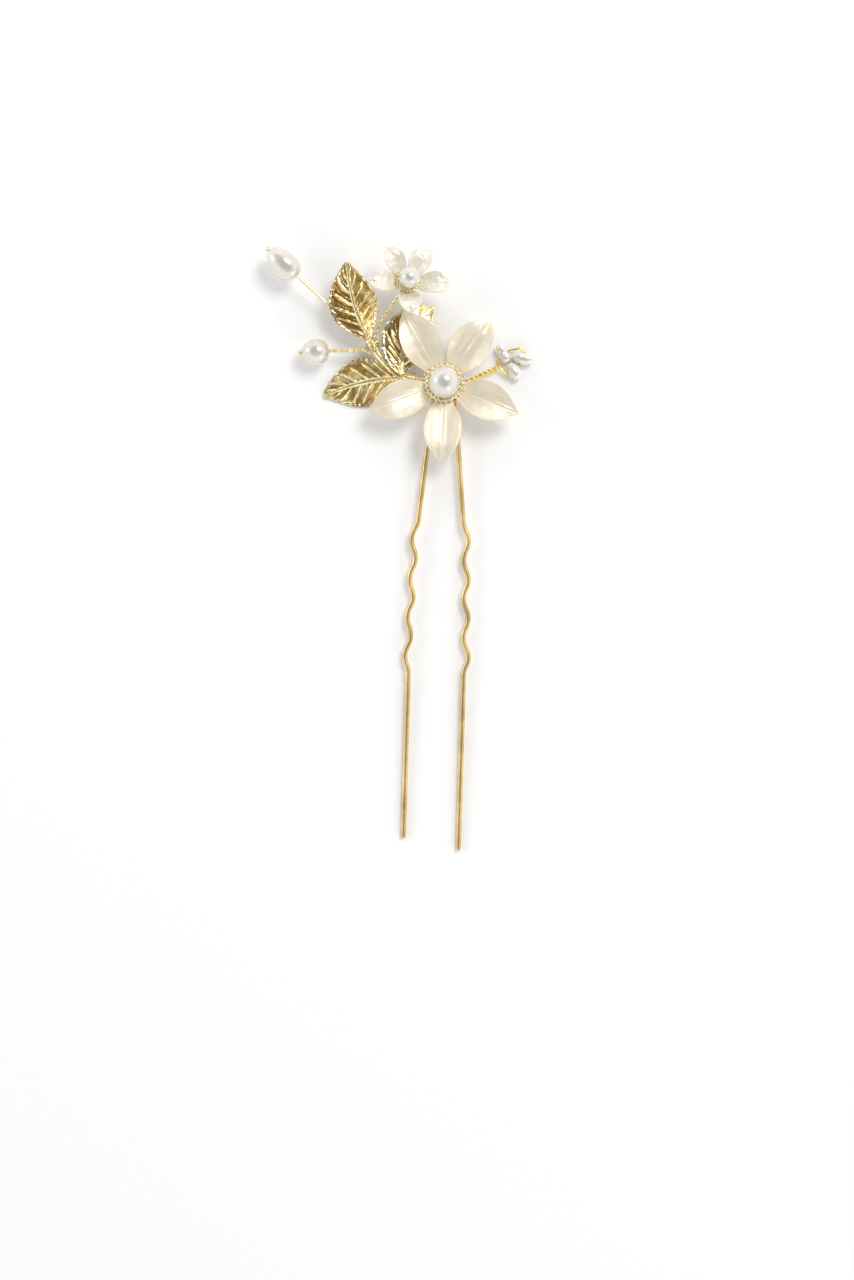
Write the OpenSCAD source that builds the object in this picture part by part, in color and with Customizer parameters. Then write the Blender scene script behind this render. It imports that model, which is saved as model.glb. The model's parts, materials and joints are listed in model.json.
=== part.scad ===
// Floral hair pin: a crimped two-legged wire pin with a wired spray of enamelled flowers,
// embossed leaves and pearls. Millimetres. The origin is the centre of the pin's U bend,
// +Y runs from the tips towards the spray and +Z is the side that shows.

/* [Pin wire] */
// Diameter of the pin's wire
wire_d = 1.0; // [0.8:0.05:1.2]
// Radius of the U bend, to the middle of the wire
bend_r = 1.95; // [1.7:0.05:2.4]
// Angle by which each leg spreads as it leaves the bend
splay = 5.5; // [4:0.5:7]
// Straight stretch of each leg between the bend and the crimps
leg_upper = 24.8; // [18:0.2:32]
// Straight stretch of each leg below the crimps
leg_lower = 32; // [20:0.5:40]
// How much longer the right leg is than the left one
right_leg_extra = 2; // [0:0.5:4]
// Distance between a crimp and the next one on the other side
crimp_pitch = 3.68; // [3:0.02:4.4]
// Slope of the wire between two crimps
crimp_angle = 24; // [16:1:28]
// Number of crimps on each leg, an odd number
crimp_count = 7; // [3:2:9]
// Angle by which the line of crimps spreads outwards
crimp_lean = 1.6; // [0:0.2:3]
// Slope of the pin's wire down from the bend to the tips
wire_slope = 1.15; // [0.8:0.05:1.5]
// Clearance between the bend and a leg, where the leg flexes
flex_gap = 0.14; // [0.12:0.01:0.2]

/* [Large flower] */
// Length of a petal from the flower's centre
petal_length = 15.3; // [13:0.1:17]
// Half of the angle that a petal takes up at the centre
petal_half_angle = 31.5; // [26:0.5:32]
// Directions of the petals
petal_angles = [56, 121, 203, 270, 339]; // one per petal
// Length of each petal as a share of the petal length
petal_shares = [1.01, 1.03, 0.99, 1, 1]; // one per petal
// Diameter of the pearl in the large flower
large_pearl_d = 6; // [5:0.1:6.4]

/* [Small flower] */
// Length of a small petal from the flower's centre
small_petal_length = 7.6; // [6.4:0.1:8.4]
// Half of the angle that a small petal takes up
small_petal_half_angle = 29; // [24:0.5:32]
// Directions of the small petals
small_petal_angles = [61, 125, 187, 274, 357]; // one per petal
// Length of each small petal as a share of the small petal length
small_petal_shares = [1.03, 0.98, 1.02, 0.86, 1.05]; // one per petal
// Diameter of the pearl in the small flower
small_pearl_d = 4; // [3.4:0.1:4.4]
// Angle by which the small flower nods away from its stem
small_flower_tilt = 16; // [8:1:24]

/* [Leaves] */
// Length of a leaf blade
leaf_length = 15; // [12:0.1:17]
// Width of a leaf blade
leaf_width = 9.4; // [7.5:0.1:10]

/* [Pearls on stems] */
// Length of the oval pearl
oval_pearl_length = 7.3; // [6.2:0.1:8]
// Diameter of the oval pearl
oval_pearl_d = 4.9; // [4.2:0.1:5.3]
// Length of the round pearl
round_pearl_length = 5.2; // [4.4:0.1:5.8]
// Diameter of the round pearl
round_pearl_d = 4.8; // [4.2:0.1:5.2]
// Length of each rice pearl on the side sprig
rice_pearl_length = 4.1; // [3.5:0.1:4.2]
// Diameter of each rice pearl on the side sprig
rice_pearl_d = 2.3; // [2:0.05:2.35]

/* [Fine wire and sheet] */
// Diameter of the stem wires
stem_d = 0.6; // [0.5:0.02:0.62]
// Diameter of one strand of the twisted wires
strand_d = 0.38; // [0.3:0.02:0.4]
// Diameter of the binding wire
binding_d = 0.35; // [0.3:0.01:0.4]
// Thickness of the petal and leaf sheet
sheet_t = 0.35; // [0.25:0.05:0.45]
// Clearance between a pearl's bore and the wire in it
bore_clearance = 0.04; // [0.02:0.01:0.08]

/* [Hidden] */
$fn = 48;

gold = "#c9a24a";
ivory = "#efe6d2";
pearl_white = "#f4f1ec";

wire_r = wire_d / 2;
stem_r = stem_d / 2;
strand_r = strand_d / 2;
twist_r = strand_d;
binding_r = binding_d / 2;
fit = 0.03;

// ---- vectors and placing ----

function unit(v) = v / norm(v);
function turn_z(p, a) = [p.x * cos(a) - p.y * sin(a), p.x * sin(a) + p.y * cos(a), p.z];
function turn_y(p, a) = [p.x * cos(a) + p.z * sin(a), p.y, -p.x * sin(a) + p.z * cos(a)];
function turn_x(p, a) = [p.x, p.y * cos(a) - p.z * sin(a), p.y * sin(a) + p.z * cos(a)];

// A place is [origin, heading, climb, roll]: where +X points, how it climbs, and its roll.
function placed(p, place) =
    place[0] + turn_z(turn_y(turn_x(p, place[3]), -place[2]), place[1]);

module at_place(place) {
    translate(place[0]) rotate([0, 0, place[1]]) rotate([0, -place[2], 0])
        rotate([place[3], 0, 0]) children();
}

// ---- round wire ----

module wire_line(a, b, r) {
    d = b - a;
    translate(a) rotate([0, acos(d.z / norm(d)), atan2(d.y, d.x)]) cylinder(h = norm(d), r = r);
}

// Exact wire in a plane, with a true arc at each corner.
module flat_wire(pts, fillet, r) {
    last = len(pts) - 1;
    dirs = [for (i = [0:last - 1]) unit(pts[i + 1] - pts[i])];
    turns = [for (i = [0:last]) i == 0 || i == last ? 0 : acos(min(1, dirs[i - 1] * dirs[i]))];
    trims = [for (t = turns) fillet * tan(t / 2)];
    for (i = [0:last - 1])
        if (norm(pts[i + 1] - pts[i]) > trims[i] + trims[i + 1] + 0.001)
            wire_line(pts[i] + dirs[i] * trims[i], pts[i + 1] - dirs[i] * trims[i + 1], r);
    for (i = [1:1:last - 1])
        if (turns[i] > 0.01) {
            n = unit(cross(dirs[i - 1], dirs[i]));
            inward = cross(n, dirs[i - 1]);
            c = pts[i] - dirs[i - 1] * trims[i] + inward * fillet;
            multmatrix([
                [-inward.x, dirs[i - 1].x, n.x, c.x],
                [-inward.y, dirs[i - 1].y, n.y, c.y],
                [-inward.z, dirs[i - 1].z, n.z, c.z],
                [0, 0, 0, 1]])
                rotate_extrude(angle = turns[i]) translate([fillet, 0]) circle(r = r);
        }
}

// Wire through points in space: straight pieces with a ball at each joint.
ball_allowance = 1.02;

module ball(p, r) {
    // turned, so that the ball's seam stays clear of the wires' ends
    translate(p) rotate([53, 17, 71]) sphere(r = r * ball_allowance);
}

module wire(pts, r) {
    last = len(pts) - 1;
    for (i = [0:last - 1]) {
        d = unit(pts[i + 1] - pts[i]) * r * 0.12;
        wire_line(pts[i] - (i == 0 ? 0 : 1) * d, pts[i + 1] + (i + 1 == last ? 0 : 1) * d, r);
    }
    for (i = [1:1:last - 1]) ball(pts[i], r);
}

// A coil of wire round the X axis, from x = 0 to x = length.
module coil(length, radius, r, pitch, skip = 0, skip_after = 0) {
    turns = (length - skip) / pitch;
    steps = ceil(turns * 18);
    sides = 6;
    rings = [for (i = [0:steps])
        let (a = 360 * turns * i / steps,
            x = (length - skip) * i / steps + skip * min(1, max(0, 2 * (a / 360 - skip_after))),
            out = [0, cos(a), sin(a)],
            along = unit([pitch, -sin(a) * radius * 2 * PI, cos(a) * radius * 2 * PI]),
            side = cross(along, out))
        for (k = [0:sides - 1])
            let (b = 360 * k / sides)
            [x, radius * cos(a), radius * sin(a)] + r * (cos(b) * out + sin(b) * side)];
    faces = concat(
        [[for (k = [0:sides - 1]) k]],
        [[for (k = [sides - 1:-1:0]) steps * sides + k]],
        [for (i = [0:steps - 1], k = [0:sides - 1])
            let (n = (k + 1) % sides)
            [i * sides + n, i * sides + k, (i + 1) * sides + k, (i + 1) * sides + n]]);
    polyhedron(rings, faces, convexity = 8);
}

// A closed sheet between an upper grid of points and the same grid t lower.
module sheet(grid, t, ring = false) {
    rows = len(grid);
    cols = len(grid[0]);
    count = rows * cols;
    top = [for (row = grid) each row];
    points = concat(top, [for (p = top) p - [0, 0, t]]);
    last = ring ? cols - 1 : cols - 2;
    function at(i, j) = i * cols + j % cols;
    skin = [for (i = [0:rows - 2], j = [0:last])
        [at(i, j), at(i, j + 1), at(i + 1, j + 1), at(i + 1, j)]];
    under = [for (f = skin) [f[3] + count, f[2] + count, f[1] + count, f[0] + count]];
    inner = [for (j = [0:last]) [at(0, j + 1), at(0, j), at(0, j) + count, at(0, j + 1) + count]];
    outer = [for (j = [0:last]) let (i = rows - 1)
        [at(i, j), at(i, j + 1), at(i, j + 1) + count, at(i, j) + count]];
    sides = ring ? [] : [for (i = [0:rows - 2]) each [
        [at(i, 0), at(i + 1, 0), at(i + 1, 0) + count, at(i, 0) + count],
        [at(i + 1, last + 1), at(i, last + 1), at(i, last + 1) + count, at(i + 1, last + 1) + count]]];
    polyhedron(points, concat(skin, under, inner, outer, sides), convexity = 6);
}

// ---- the pin: bend and crimped legs ----

bend_arm = 2.4;
tip_chamfer = 0.12;
leg_root = bend_r * [cos(splay), sin(splay), 0] + (bend_arm + flex_gap / 2) * [sin(splay), -cos(splay), 0];

// Corners of a leg's middle line: the flexing end, the knee, the crimps and the lower straight.
function leg_corners(lower) =
    let (out_angle = crimp_lean + crimp_angle,
        side = crimp_pitch / cos(crimp_angle),
        root = leg_root + flex_gap / 2 * [sin(splay), -cos(splay), 0],
        knee = root + (leg_upper - bend_arm - flex_gap) * [sin(splay), -cos(splay), 0],
        first = knee + side * 0.82 * [sin(out_angle), -cos(out_angle), 0],
        lean = [sin(crimp_lean), -cos(crimp_lean), 0],
        across = [cos(crimp_lean), sin(crimp_lean), 0],
        swing = crimp_pitch * tan(crimp_angle),
        crimps = [for (i = [0:crimp_count - 1])
            first + lean * crimp_pitch * i - across * (i % 2 == 0 ? 0 : swing)],
        out = crimps[crimp_count - 1],
        in_angle = crimp_angle - crimp_lean,
        foot = out + side * 0.72 * [-sin(in_angle), -cos(in_angle), 0])
    concat([root, knee], crimps, [foot, foot - [0, lower, 0]]);

crimp_fillet = 0.9 * crimp_pitch / (2 * sin(crimp_angle));

module leg(lower) {
    corners = leg_corners(lower - tip_chamfer);
    flat_wire(corners, crimp_fillet, wire_r);
    translate(corners[len(corners) - 1]) rotate([90, 0, 0])
        cylinder(h = tip_chamfer, r1 = wire_r, r2 = wire_r - tip_chamfer);
}

module pin_bend() {
    color(gold) rotate([wire_slope, 0, 0]) {
        rotate([0, 0, splay]) rotate_extrude(angle = 180 - 2 * splay)
            translate([bend_r, 0]) circle(r = wire_r);
        for (side = [0, 1]) mirror([side, 0, 0]) rotate([0, 0, splay]) translate([bend_r, 0, 0])
            rotate([90, 0, 0]) cylinder(h = bend_arm, r = wire_r);
    }
}

module left_leg() {
    color(gold) rotate([wire_slope, 0, 0]) mirror([1, 0, 0]) leg(leg_lower);
}

module right_leg() {
    color(gold) rotate([wire_slope, 0, 0]) leg(leg_lower + right_leg_extra);
}

// ---- stem wires, side by side on the main stem ----

// The main stem's wires lie in a plane that climbs gently from the top of the bend.
stem_climb = 5;
pair_gap = 0.1;
pair_half = stem_r + pair_gap / 2;
spray_base = [0, bend_r + 0.05, wire_r + stem_r + fit];

function on_spray(p) = spray_base + [p.x, p.y * cos(stem_climb), p.y * sin(stem_climb) + p.z];

main_stem = [[0.3, 0], [-2.5, 0], [-8.9, 1.3], [-12.9, 4.8], [-14.3, 7.65]];
oval_pearl_end = [-34.2, 24.3];
small_flower_turn = [-12.6, 11.4];
small_flower_foot = [-8.2, 17.8];

// A corner of the main stem, moved sideways by d.
function stem_side(i, d) =
    let (p = main_stem[i],
        a = i == 0 ? unit(main_stem[1] - main_stem[0]) : unit(p - main_stem[i - 1]),
        b = i == len(main_stem) - 1 ? a : unit(main_stem[i + 1] - p),
        m = unit(a + b))
    p + [-m.y, m.x] * d / (m * a);

oval_stem_points = concat(
    [for (i = [0:4]) on_spray([each stem_side(i, pair_half), 0])],
    [on_spray([each oval_pearl_end, 0])]);

oval_dir = unit(oval_stem_points[5] - oval_stem_points[4]);
oval_center = oval_stem_points[5] - oval_dir * (oval_pearl_length / 2 + 0.25);

// ---- large flower ----

hub_z = spray_base.z + 1.52;
notch_r = 3.5;
large_flower_at = [-0.2, bend_r, hub_z];
collar_t = 0.3;
collar_z = sheet_t + fit;
large_pearl_z = collar_z + collar_t + fit + large_pearl_d / 2;

// Edge of a flower at angle phi from the nearest petal's middle.
function petal_edge(phi, half, length, notch, a, b) =
    let (t = min(1, abs(phi) / half))
    notch + (length - notch) * pow(max(0, 1 - pow(t, a)), b);

// Height of a petal at radius r and angle phi from its middle.
function petal_height(r, phi, hub, length, rise, cup, reach) =
    r <= hub ? 0 :
    let (t = (r - hub) / (length - hub), v = r * sin(phi) / reach)
    rise * sin(min(1, t * 1.25) * 90) - rise * 0.35 * pow(max(0, t - 0.6) / 0.4, 2)
        + cup * v * v * min(1, t * 3);

petal_steps = [-1, -0.97, -0.9, -0.76, -0.56, -0.34, -0.14, 0, 0.14, 0.34, 0.56, 0.76, 0.9, 0.97, 1];

module blossom(angles, shares, half, length, notch, hub, hole, rise, cup, reach, a, b) {
    radial = 9;
    columns = [for (k = [0:len(angles) - 1], s = petal_steps) [angles[k], s * half, length * shares[k]]];
    grid = [for (i = [0:radial]) [for (c = columns)
        let (edge = petal_edge(c[1], half, c[2], notch, a, b),
            r = hole + (edge - hole) * i / radial,
            angle = c[0] + c[1])
        [r * cos(angle), r * sin(angle), petal_height(r, c[1], hub, length, rise, cup, reach)]]];
    translate([0, 0, sheet_t]) sheet(grid, sheet_t, ring = true);
}

module large_flower_petals() {
    color(ivory) translate(large_flower_at)
        blossom(petal_angles, petal_shares, petal_half_angle, petal_length, notch_r,
            collar_rim_r + collar_bead_r + 0.3, stem_r + 0.1, 1.5, 0.9, 3.7, 0.93, 0.52);
}

bead_lift = 0.05;

// A pierced disc with a beaded rim, as a pearl's seat. The beads stand just clear of its underside.
module beaded_cup(t, hole_r, bead_r, bead_count, rim_r) {
    difference() {
        cylinder(h = t, r = rim_r + bead_r / 4);
        translate([0, 0, -1]) cylinder(h = t + 2, r = hole_r);
    }
    for (i = [0:bead_count - 1]) rotate([0, 0, 360 * i / bead_count])
        translate([rim_r, 0, bead_r + bead_lift]) rotate([31, 14, 57]) sphere(r = bead_r);
}

collar_bead_r = 0.44;
collar_bead_count = 20;
collar_rim_r = 3.45;

module large_flower_collar() {
    color(gold) translate(large_flower_at + [0, 0, collar_z])
        beaded_cup(collar_t, stem_r + 0.05, collar_bead_r, collar_bead_count, collar_rim_r);
}

// A pearl with a blind bore from below for its peg.
module pegged_pearl(d, depth) {
    difference() {
        sphere(d = d);
        translate([0, 0, -d / 2 - 1]) cylinder(h = depth + 1, r = stem_r + bore_clearance / 2);
    }
}

peg_depth = 0.6;

module large_flower_pearl() {
    color(pearl_white) translate(large_flower_at + [0, 0, large_pearl_z])
        pegged_pearl(large_pearl_d, large_pearl_d * peg_depth);
}

peg_bend_r = 0.62;
peg_tail_z = spray_base.z + sqrt(pow(stem_d + pair_gap / 2, 2) - pow(pair_half, 2)) + fit;
peg_tail = 3.6;

module large_flower_stem() {
    top = large_flower_at.z + large_pearl_z + large_pearl_d * (peg_depth - 0.5) - fit;
    color(gold) translate([large_flower_at.x, large_flower_at.y, peg_tail_z + peg_bend_r])
        rotate([90, 0, 0]) {
        cylinder_up = top - peg_tail_z - peg_bend_r;
        rotate([-90, 0, 0]) cylinder(h = cylinder_up, r = stem_r);
        translate([-peg_bend_r, 0, 0]) rotate([0, 0, -90]) rotate_extrude(angle = 90)
            translate([peg_bend_r, 0]) circle(r = stem_r);
        translate([-peg_bend_r, -peg_bend_r, 0]) rotate([0, -90, 0]) cylinder(h = peg_tail, r = stem_r);
    }
}

// ---- small flower ----

small_foot = on_spray([each small_flower_foot, 0]);
small_turn = on_spray([each small_flower_turn, 0]);
small_run = unit(small_foot - small_turn);
small_heading = atan2(small_run.y, small_run.x);
small_stem_rise = 3.4;
small_axis = [sin(small_flower_tilt) * cos(small_heading), sin(small_flower_tilt) * sin(small_heading),
    cos(small_flower_tilt)];
small_hub = small_foot + small_axis * small_stem_rise;
small_notch_r = 1.7;
small_collar_t = 0.25;
small_pearl_z = sheet_t + fit + small_collar_t + fit + small_pearl_d / 2;
small_bead_r = 0.3;
small_bead_count = 18;
small_rim_r = 2.05;

module at_small_flower() {
    translate(small_hub) rotate([0, 0, small_heading]) rotate([0, small_flower_tilt, 0])
        rotate([0, 0, -small_heading]) children();
}

module small_flower_petals() {
    color(ivory) at_small_flower()
        blossom(small_petal_angles, small_petal_shares, small_petal_half_angle, small_petal_length,
            small_notch_r, small_rim_r + small_bead_r + 0.15, stem_r + 0.1, 1.5, 0.5, 2.1, 1.2, 0.55);
}

module small_flower_cup() {
    color(gold) at_small_flower() translate([0, 0, sheet_t + fit])
        beaded_cup(small_collar_t, stem_r + 0.05, small_bead_r, small_bead_count, small_rim_r);
}

module small_flower_pearl() {
    color(pearl_white) at_small_flower() translate([0, 0, small_pearl_z])
        pegged_pearl(small_pearl_d, small_pearl_d * peg_depth);
}

module small_flower_stem() {
    top = small_hub + small_axis * (small_pearl_z + small_pearl_d * (peg_depth - 0.5) - fit);
    points = concat(
        [for (i = [0:4]) on_spray([each stem_side(i, -pair_half), 0])],
        [small_turn, small_foot, top]);
    color(gold) wire(points, stem_r);
}

// ---- pearls on stems ----

// Half profile of a pearl of revolution about Z: full is the roundness, point draws in the +Z end.
function pearl_profile(length, d, full, point, steps = 24) =
    [for (i = [0:steps])
        let (a = -90 + 180 * i / steps, z = sin(a),
            w = pow(cos(a), full) * (1 - point * z))
        [i == 0 || i == steps ? 0 : d / 2 * w, length / 2 * z]];

// A pearl along +X, bored along its length.
module threaded_pearl(length, d, full, point, bore_r) {
    rotate([0, 90, 0]) difference() {
        rotate_extrude() polygon(pearl_profile(length, d, full, point));
        translate([0, 0, -length]) cylinder(h = 2 * length, r = bore_r);
    }
}

// Points +X from a point along a direction.
function aimed(origin, dir) = [origin, atan2(dir.y, dir.x), asin(dir.z / norm(dir)), 0];

nub_r = 0.42;

module oval_pearl() {
    color(pearl_white) at_place(aimed(oval_center, oval_dir))
        threaded_pearl(oval_pearl_length, oval_pearl_d, 0.86, 0.06, stem_r + bore_clearance);
}

module oval_pearl_stem() {
    color(gold) {
        wire(oval_stem_points, stem_r);
        translate(oval_center + oval_dir * (oval_pearl_length / 2 + nub_r * 0.85))
            rotate([38, 64, 22]) sphere(r = nub_r);
    }
}

round_pearl_at = [-24.7, 7.3, spray_base.z + 0.77];
round_stem_knee = on_spray([-15.5, 6.0, 0]);
round_dir = unit(round_pearl_at - round_stem_knee);

module round_pearl() {
    color(pearl_white) at_place(aimed(round_pearl_at, round_dir))
        threaded_pearl(round_pearl_length, round_pearl_d, 0.9, 0.08, strand_r + bore_clearance);
}

module round_pearl_stem() {
    // the thin strand starts under the main stem's pair, inside the junction binding
    under = -stem_r - strand_r - fit;
    base = round_pearl_at - round_dir * (round_pearl_length / 2 + fit);
    head = round_pearl_at + round_dir * (round_pearl_length / 2 + nub_r * 0.85);
    color(gold) {
        wire(concat([for (p = [[-13.95, 7], [-13.2, 5.45], [-14.5, 5.35]]) on_spray([each p, under])],
            [round_stem_knee]), strand_r);
        ball(round_stem_knee, twist_r);
        wire_line(round_stem_knee, base, twist_r);
        wire_line(base - round_dir * 0.5, head, strand_r);
        translate(head) rotate([38, 64, 22]) sphere(r = nub_r);
    }
}

// ---- side sprig: twisted wire, then a loop through three crossways pearls ----

sprig_z = -0.95;
sprig_fork = [10.1, 5.7, sprig_z];
sprig_start = [-0.3, 0.92, wire_r + twist_r + 0.2];
sprig_knee = [1.0, 0.92, wire_r + twist_r + 0.2];
sprig_loop = [[10.1, 5.7], [10.15, 7.35], [12.2, 8.95], [14, 9.35], [15.2, 8.65], [14.1, 6.15], [11.9, 4.1],
    [10.1, 5.7]];
sprig_upper = [[10.88, 8.27], 120];
sprig_right = [[14.75, 7.45], -10];
sprig_lower = [[13.1, 5.0], -50];

module sprig_wire() {
    loop = [for (p = sprig_loop) [p.x, p.y, sprig_z]];
    color(gold) {
        wire([sprig_start, sprig_knee, sprig_fork], twist_r);
        wire(loop, strand_r);
        ball(sprig_fork, twist_r);
    }
}

// A rice pearl in the sprig's plane, with its waist drawn in, bored across where the loop passes.
module rice_pearl(place, waist, share = 1) {
    along = rice_pearl_length * share / 2;
    color(pearl_white) difference() {
        translate([place[0].x, place[0].y, sprig_z]) rotate([0, 0, place[1]]) rotate([0, 90, 0])
            rotate_extrude() polygon([for (i = [0:24])
                let (a = -90 + 7.5 * i, z = sin(a))
                [i == 0 || i == 24 ? 0 : rice_pearl_d / 2 * pow(cos(a), 0.8) * (1 - waist * exp(-9 * z * z)),
                    along * z]]);
        for (i = [0:len(sprig_loop) - 2])
            wire_bore(sprig_loop[i], sprig_loop[i + 1], place[0]);
    }
}

// The bore that follows the stretch of loop nearest to a pearl's middle.
module wire_bore(a, b, middle) {
    d = unit(b - a);
    off = abs(cross([d.x, d.y, 0], [middle.x - a.x, middle.y - a.y, 0]).z);
    along = (middle - a) * d;
    if (off < 0.5 && along > 0 && along < norm(b - a))
        wire_line([a.x - d.x, a.y - d.y, sprig_z], [b.x + d.x, b.y + d.y, sprig_z],
            strand_r + bore_clearance);
}

module sprig_upper_pearl() rice_pearl(sprig_upper, 0.22);
module sprig_right_pearl() rice_pearl(sprig_right, 0.05);
module sprig_lower_pearl() rice_pearl(sprig_lower, 0.02, 0.86);

// ---- leaves ----

// Half the width of the blade at a share u of its length.
function blade_half(u) = leaf_width / 2 * pow(sin(180 * pow(u, 0.9)), 0.95) + 0.12;

// A point of the blade: u along it, v across it from -1 to 1.
function blade_point(u, v, bend, fold, curl) =
    let (w = blade_half(u), a = bend * u,
        r = bend == 0 ? 0 : leaf_length / (bend * PI / 180),
        x = bend == 0 ? leaf_length * u : r * sin(a),
        y = bend == 0 ? 0 : r * (1 - cos(a)),
        n = [-sin(a), cos(a)])
    [x + n.x * v * w * cos(fold), y + n.y * v * w * cos(fold), -abs(v) * w * sin(fold) + curl * u * u];

module blade(bend, fold, curl) {
    across = [-1, -0.75, -0.5, -0.25, 0, 0.25, 0.5, 0.75, 1];
    rows = 14;
    // columns run from +v to -v, so that the upper side faces +Z
    grid = [for (i = [0:rows]) [for (v = across)
        blade_point(0.004 + 0.992 * i / rows, -v, bend, fold, curl)]];
    translate([0, 0, sheet_t / 2]) sheet(grid, sheet_t);
}

// place, in-plane bend, fold down from the midrib, curl up at the tip
upper_leaf_form = [[[-14.7, 10.1, spray_base.z + 1.62], 121, 9, 6], -26, 14, 0.6];
lower_leaf_form = [[[-8.8, 2.9, spray_base.z - 0.42], 183, -5.2, -4], 24, 14, -0.65];
rear_leaf_form = [[[-8.3, 3.4, spray_base.z + 1.15], 96, -1, 0], -60, -2, 0.3];

module formed_leaf(form) {
    color(gold) at_place(form[0]) blade(form[1], form[2], form[3]);
}

module upper_leaf() formed_leaf(upper_leaf_form);
module lower_leaf() formed_leaf(lower_leaf_form);
module rear_leaf() formed_leaf(rear_leaf_form);

// Wire under a leaf's midrib, then along the main stem: on top of it, or below it for the lower leaf.
leaf_wire_r = 0.22;

module leaf_stem(form, reach, ends) {
    drop = -sheet_t / 2 - leaf_wire_r - 0.08;
    color(gold) wire(concat([placed([reach, 0, drop], form[0]), placed([-0.25, 0, drop], form[0])],
        [for (p = ends) on_spray(p)]), leaf_wire_r);
}

ride_z = ball_allowance * (stem_r + leaf_wire_r) + 2 * fit;
module upper_leaf_stem() leaf_stem(upper_leaf_form, 2.5, [[-14.1, 7.2, ride_z], [-13.4, 5.9, ride_z]]);
module lower_leaf_stem() leaf_stem(lower_leaf_form, 2.5, [[-7.6, 0.64, -ride_z], [-5.2, 0.15, -ride_z]]);
module rear_leaf_stem() leaf_stem(rear_leaf_form, 2, [[-7.8, 1.5, ride_z], [-5.2, 0.97, ride_z]]);

// ---- bindings ----

// The bend's binding runs one turn wide where the large flower's peg passes through it.
bend_binding_r = wire_r + 0.94;
binding_pitch = binding_d + fit;
peg_room = stem_r + binding_r + 2 * fit;
bend_binding_at = [large_flower_at.x - peg_room - 1.25 * binding_pitch, bend_r - 0.35, spray_base.z - 0.23];

module bend_binding() {
    skip = 2 * peg_room - binding_pitch;
    color(gold) translate(bend_binding_at)
        coil(3.75 * binding_pitch + skip, bend_binding_r, binding_r, binding_pitch, skip, 1.5);
}

module junction_binding() {
    from = on_spray([each main_stem[3], 0.15]);
    to = on_spray([each main_stem[4], 0.15]);
    dir = unit(to - from);
    color(gold) at_place(aimed(to - dir * 1.5, dir)) coil(1.5, 1.12, binding_r, binding_pitch);
}

module leaf_binding() {
    from = on_spray([each main_stem[2], 0]);
    to = on_spray([each main_stem[1], 0]);
    dir = unit(to - from);
    color(gold) at_place(aimed(from + dir * 1.7, dir)) coil(1.6, 1.16, binding_r, binding_pitch);
}

pin_bend();
left_leg();
right_leg();
bend_binding();
large_flower_petals();
large_flower_collar();
large_flower_pearl();
large_flower_stem();
small_flower_petals();
small_flower_cup();
small_flower_pearl();
small_flower_stem();
oval_pearl();
oval_pearl_stem();
round_pearl();
round_pearl_stem();
junction_binding();
leaf_binding();
upper_leaf();
upper_leaf_stem();
lower_leaf();
lower_leaf_stem();
rear_leaf();
rear_leaf_stem();
sprig_wire();
sprig_upper_pearl();
sprig_right_pearl();
sprig_lower_pearl();
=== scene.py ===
"""Floral hair pin: the visual model, laid out as an add-on that runs as a script."""

import json
import math

import bmesh
import bpy
import numpy as np
from mathutils import Matrix, Vector


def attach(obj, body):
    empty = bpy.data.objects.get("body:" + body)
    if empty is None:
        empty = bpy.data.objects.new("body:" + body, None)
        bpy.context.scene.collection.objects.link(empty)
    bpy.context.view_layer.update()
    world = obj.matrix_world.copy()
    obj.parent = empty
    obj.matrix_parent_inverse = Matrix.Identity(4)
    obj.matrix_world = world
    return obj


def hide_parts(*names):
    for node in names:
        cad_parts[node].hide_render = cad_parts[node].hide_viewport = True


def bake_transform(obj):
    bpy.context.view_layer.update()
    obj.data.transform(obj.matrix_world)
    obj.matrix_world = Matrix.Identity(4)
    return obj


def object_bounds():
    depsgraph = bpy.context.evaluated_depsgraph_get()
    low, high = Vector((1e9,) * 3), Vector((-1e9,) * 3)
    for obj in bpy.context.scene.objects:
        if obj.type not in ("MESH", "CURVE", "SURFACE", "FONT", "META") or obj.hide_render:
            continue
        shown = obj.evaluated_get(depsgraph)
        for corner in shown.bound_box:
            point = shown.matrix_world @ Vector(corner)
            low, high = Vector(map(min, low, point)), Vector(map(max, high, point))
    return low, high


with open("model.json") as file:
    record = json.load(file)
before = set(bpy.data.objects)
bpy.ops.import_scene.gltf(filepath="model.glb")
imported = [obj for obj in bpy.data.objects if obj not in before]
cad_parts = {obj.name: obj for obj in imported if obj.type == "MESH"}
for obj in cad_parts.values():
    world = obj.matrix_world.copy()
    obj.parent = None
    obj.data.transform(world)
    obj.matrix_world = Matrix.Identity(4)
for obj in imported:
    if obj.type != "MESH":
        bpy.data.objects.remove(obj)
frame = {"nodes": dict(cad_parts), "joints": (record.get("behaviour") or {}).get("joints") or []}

bl_info = {
    "name": "Floral Hair Pin",
    "version": (1, 0, 0),
    "blender": (4, 5, 0),
    "location": "3D View > Sidebar > Hair Pin",
    "description": "Builds a crimped wire hair pin with enamelled flowers, embossed leaves and pearls",
    "category": "Add Mesh",
}

MM = 0.001
SPRAY = "spray_and_bend"
CAD_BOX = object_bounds()


# ---- sizes and colours ----


def length_prop(name, description, mm, low, high):
    return bpy.props.FloatProperty(name=name, description=description, default=mm * MM, min=low * MM, max=high * MM,
                                   unit="LENGTH", precision=5)


def count_prop(name, description, number, low, high):
    return bpy.props.IntProperty(name=name, description=description, default=number, min=low, max=high)


def colour_prop(name, description, red, green, blue):
    return bpy.props.FloatVectorProperty(name=name, description=description, subtype="COLOR",
                                         default=(red, green, blue))


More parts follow.
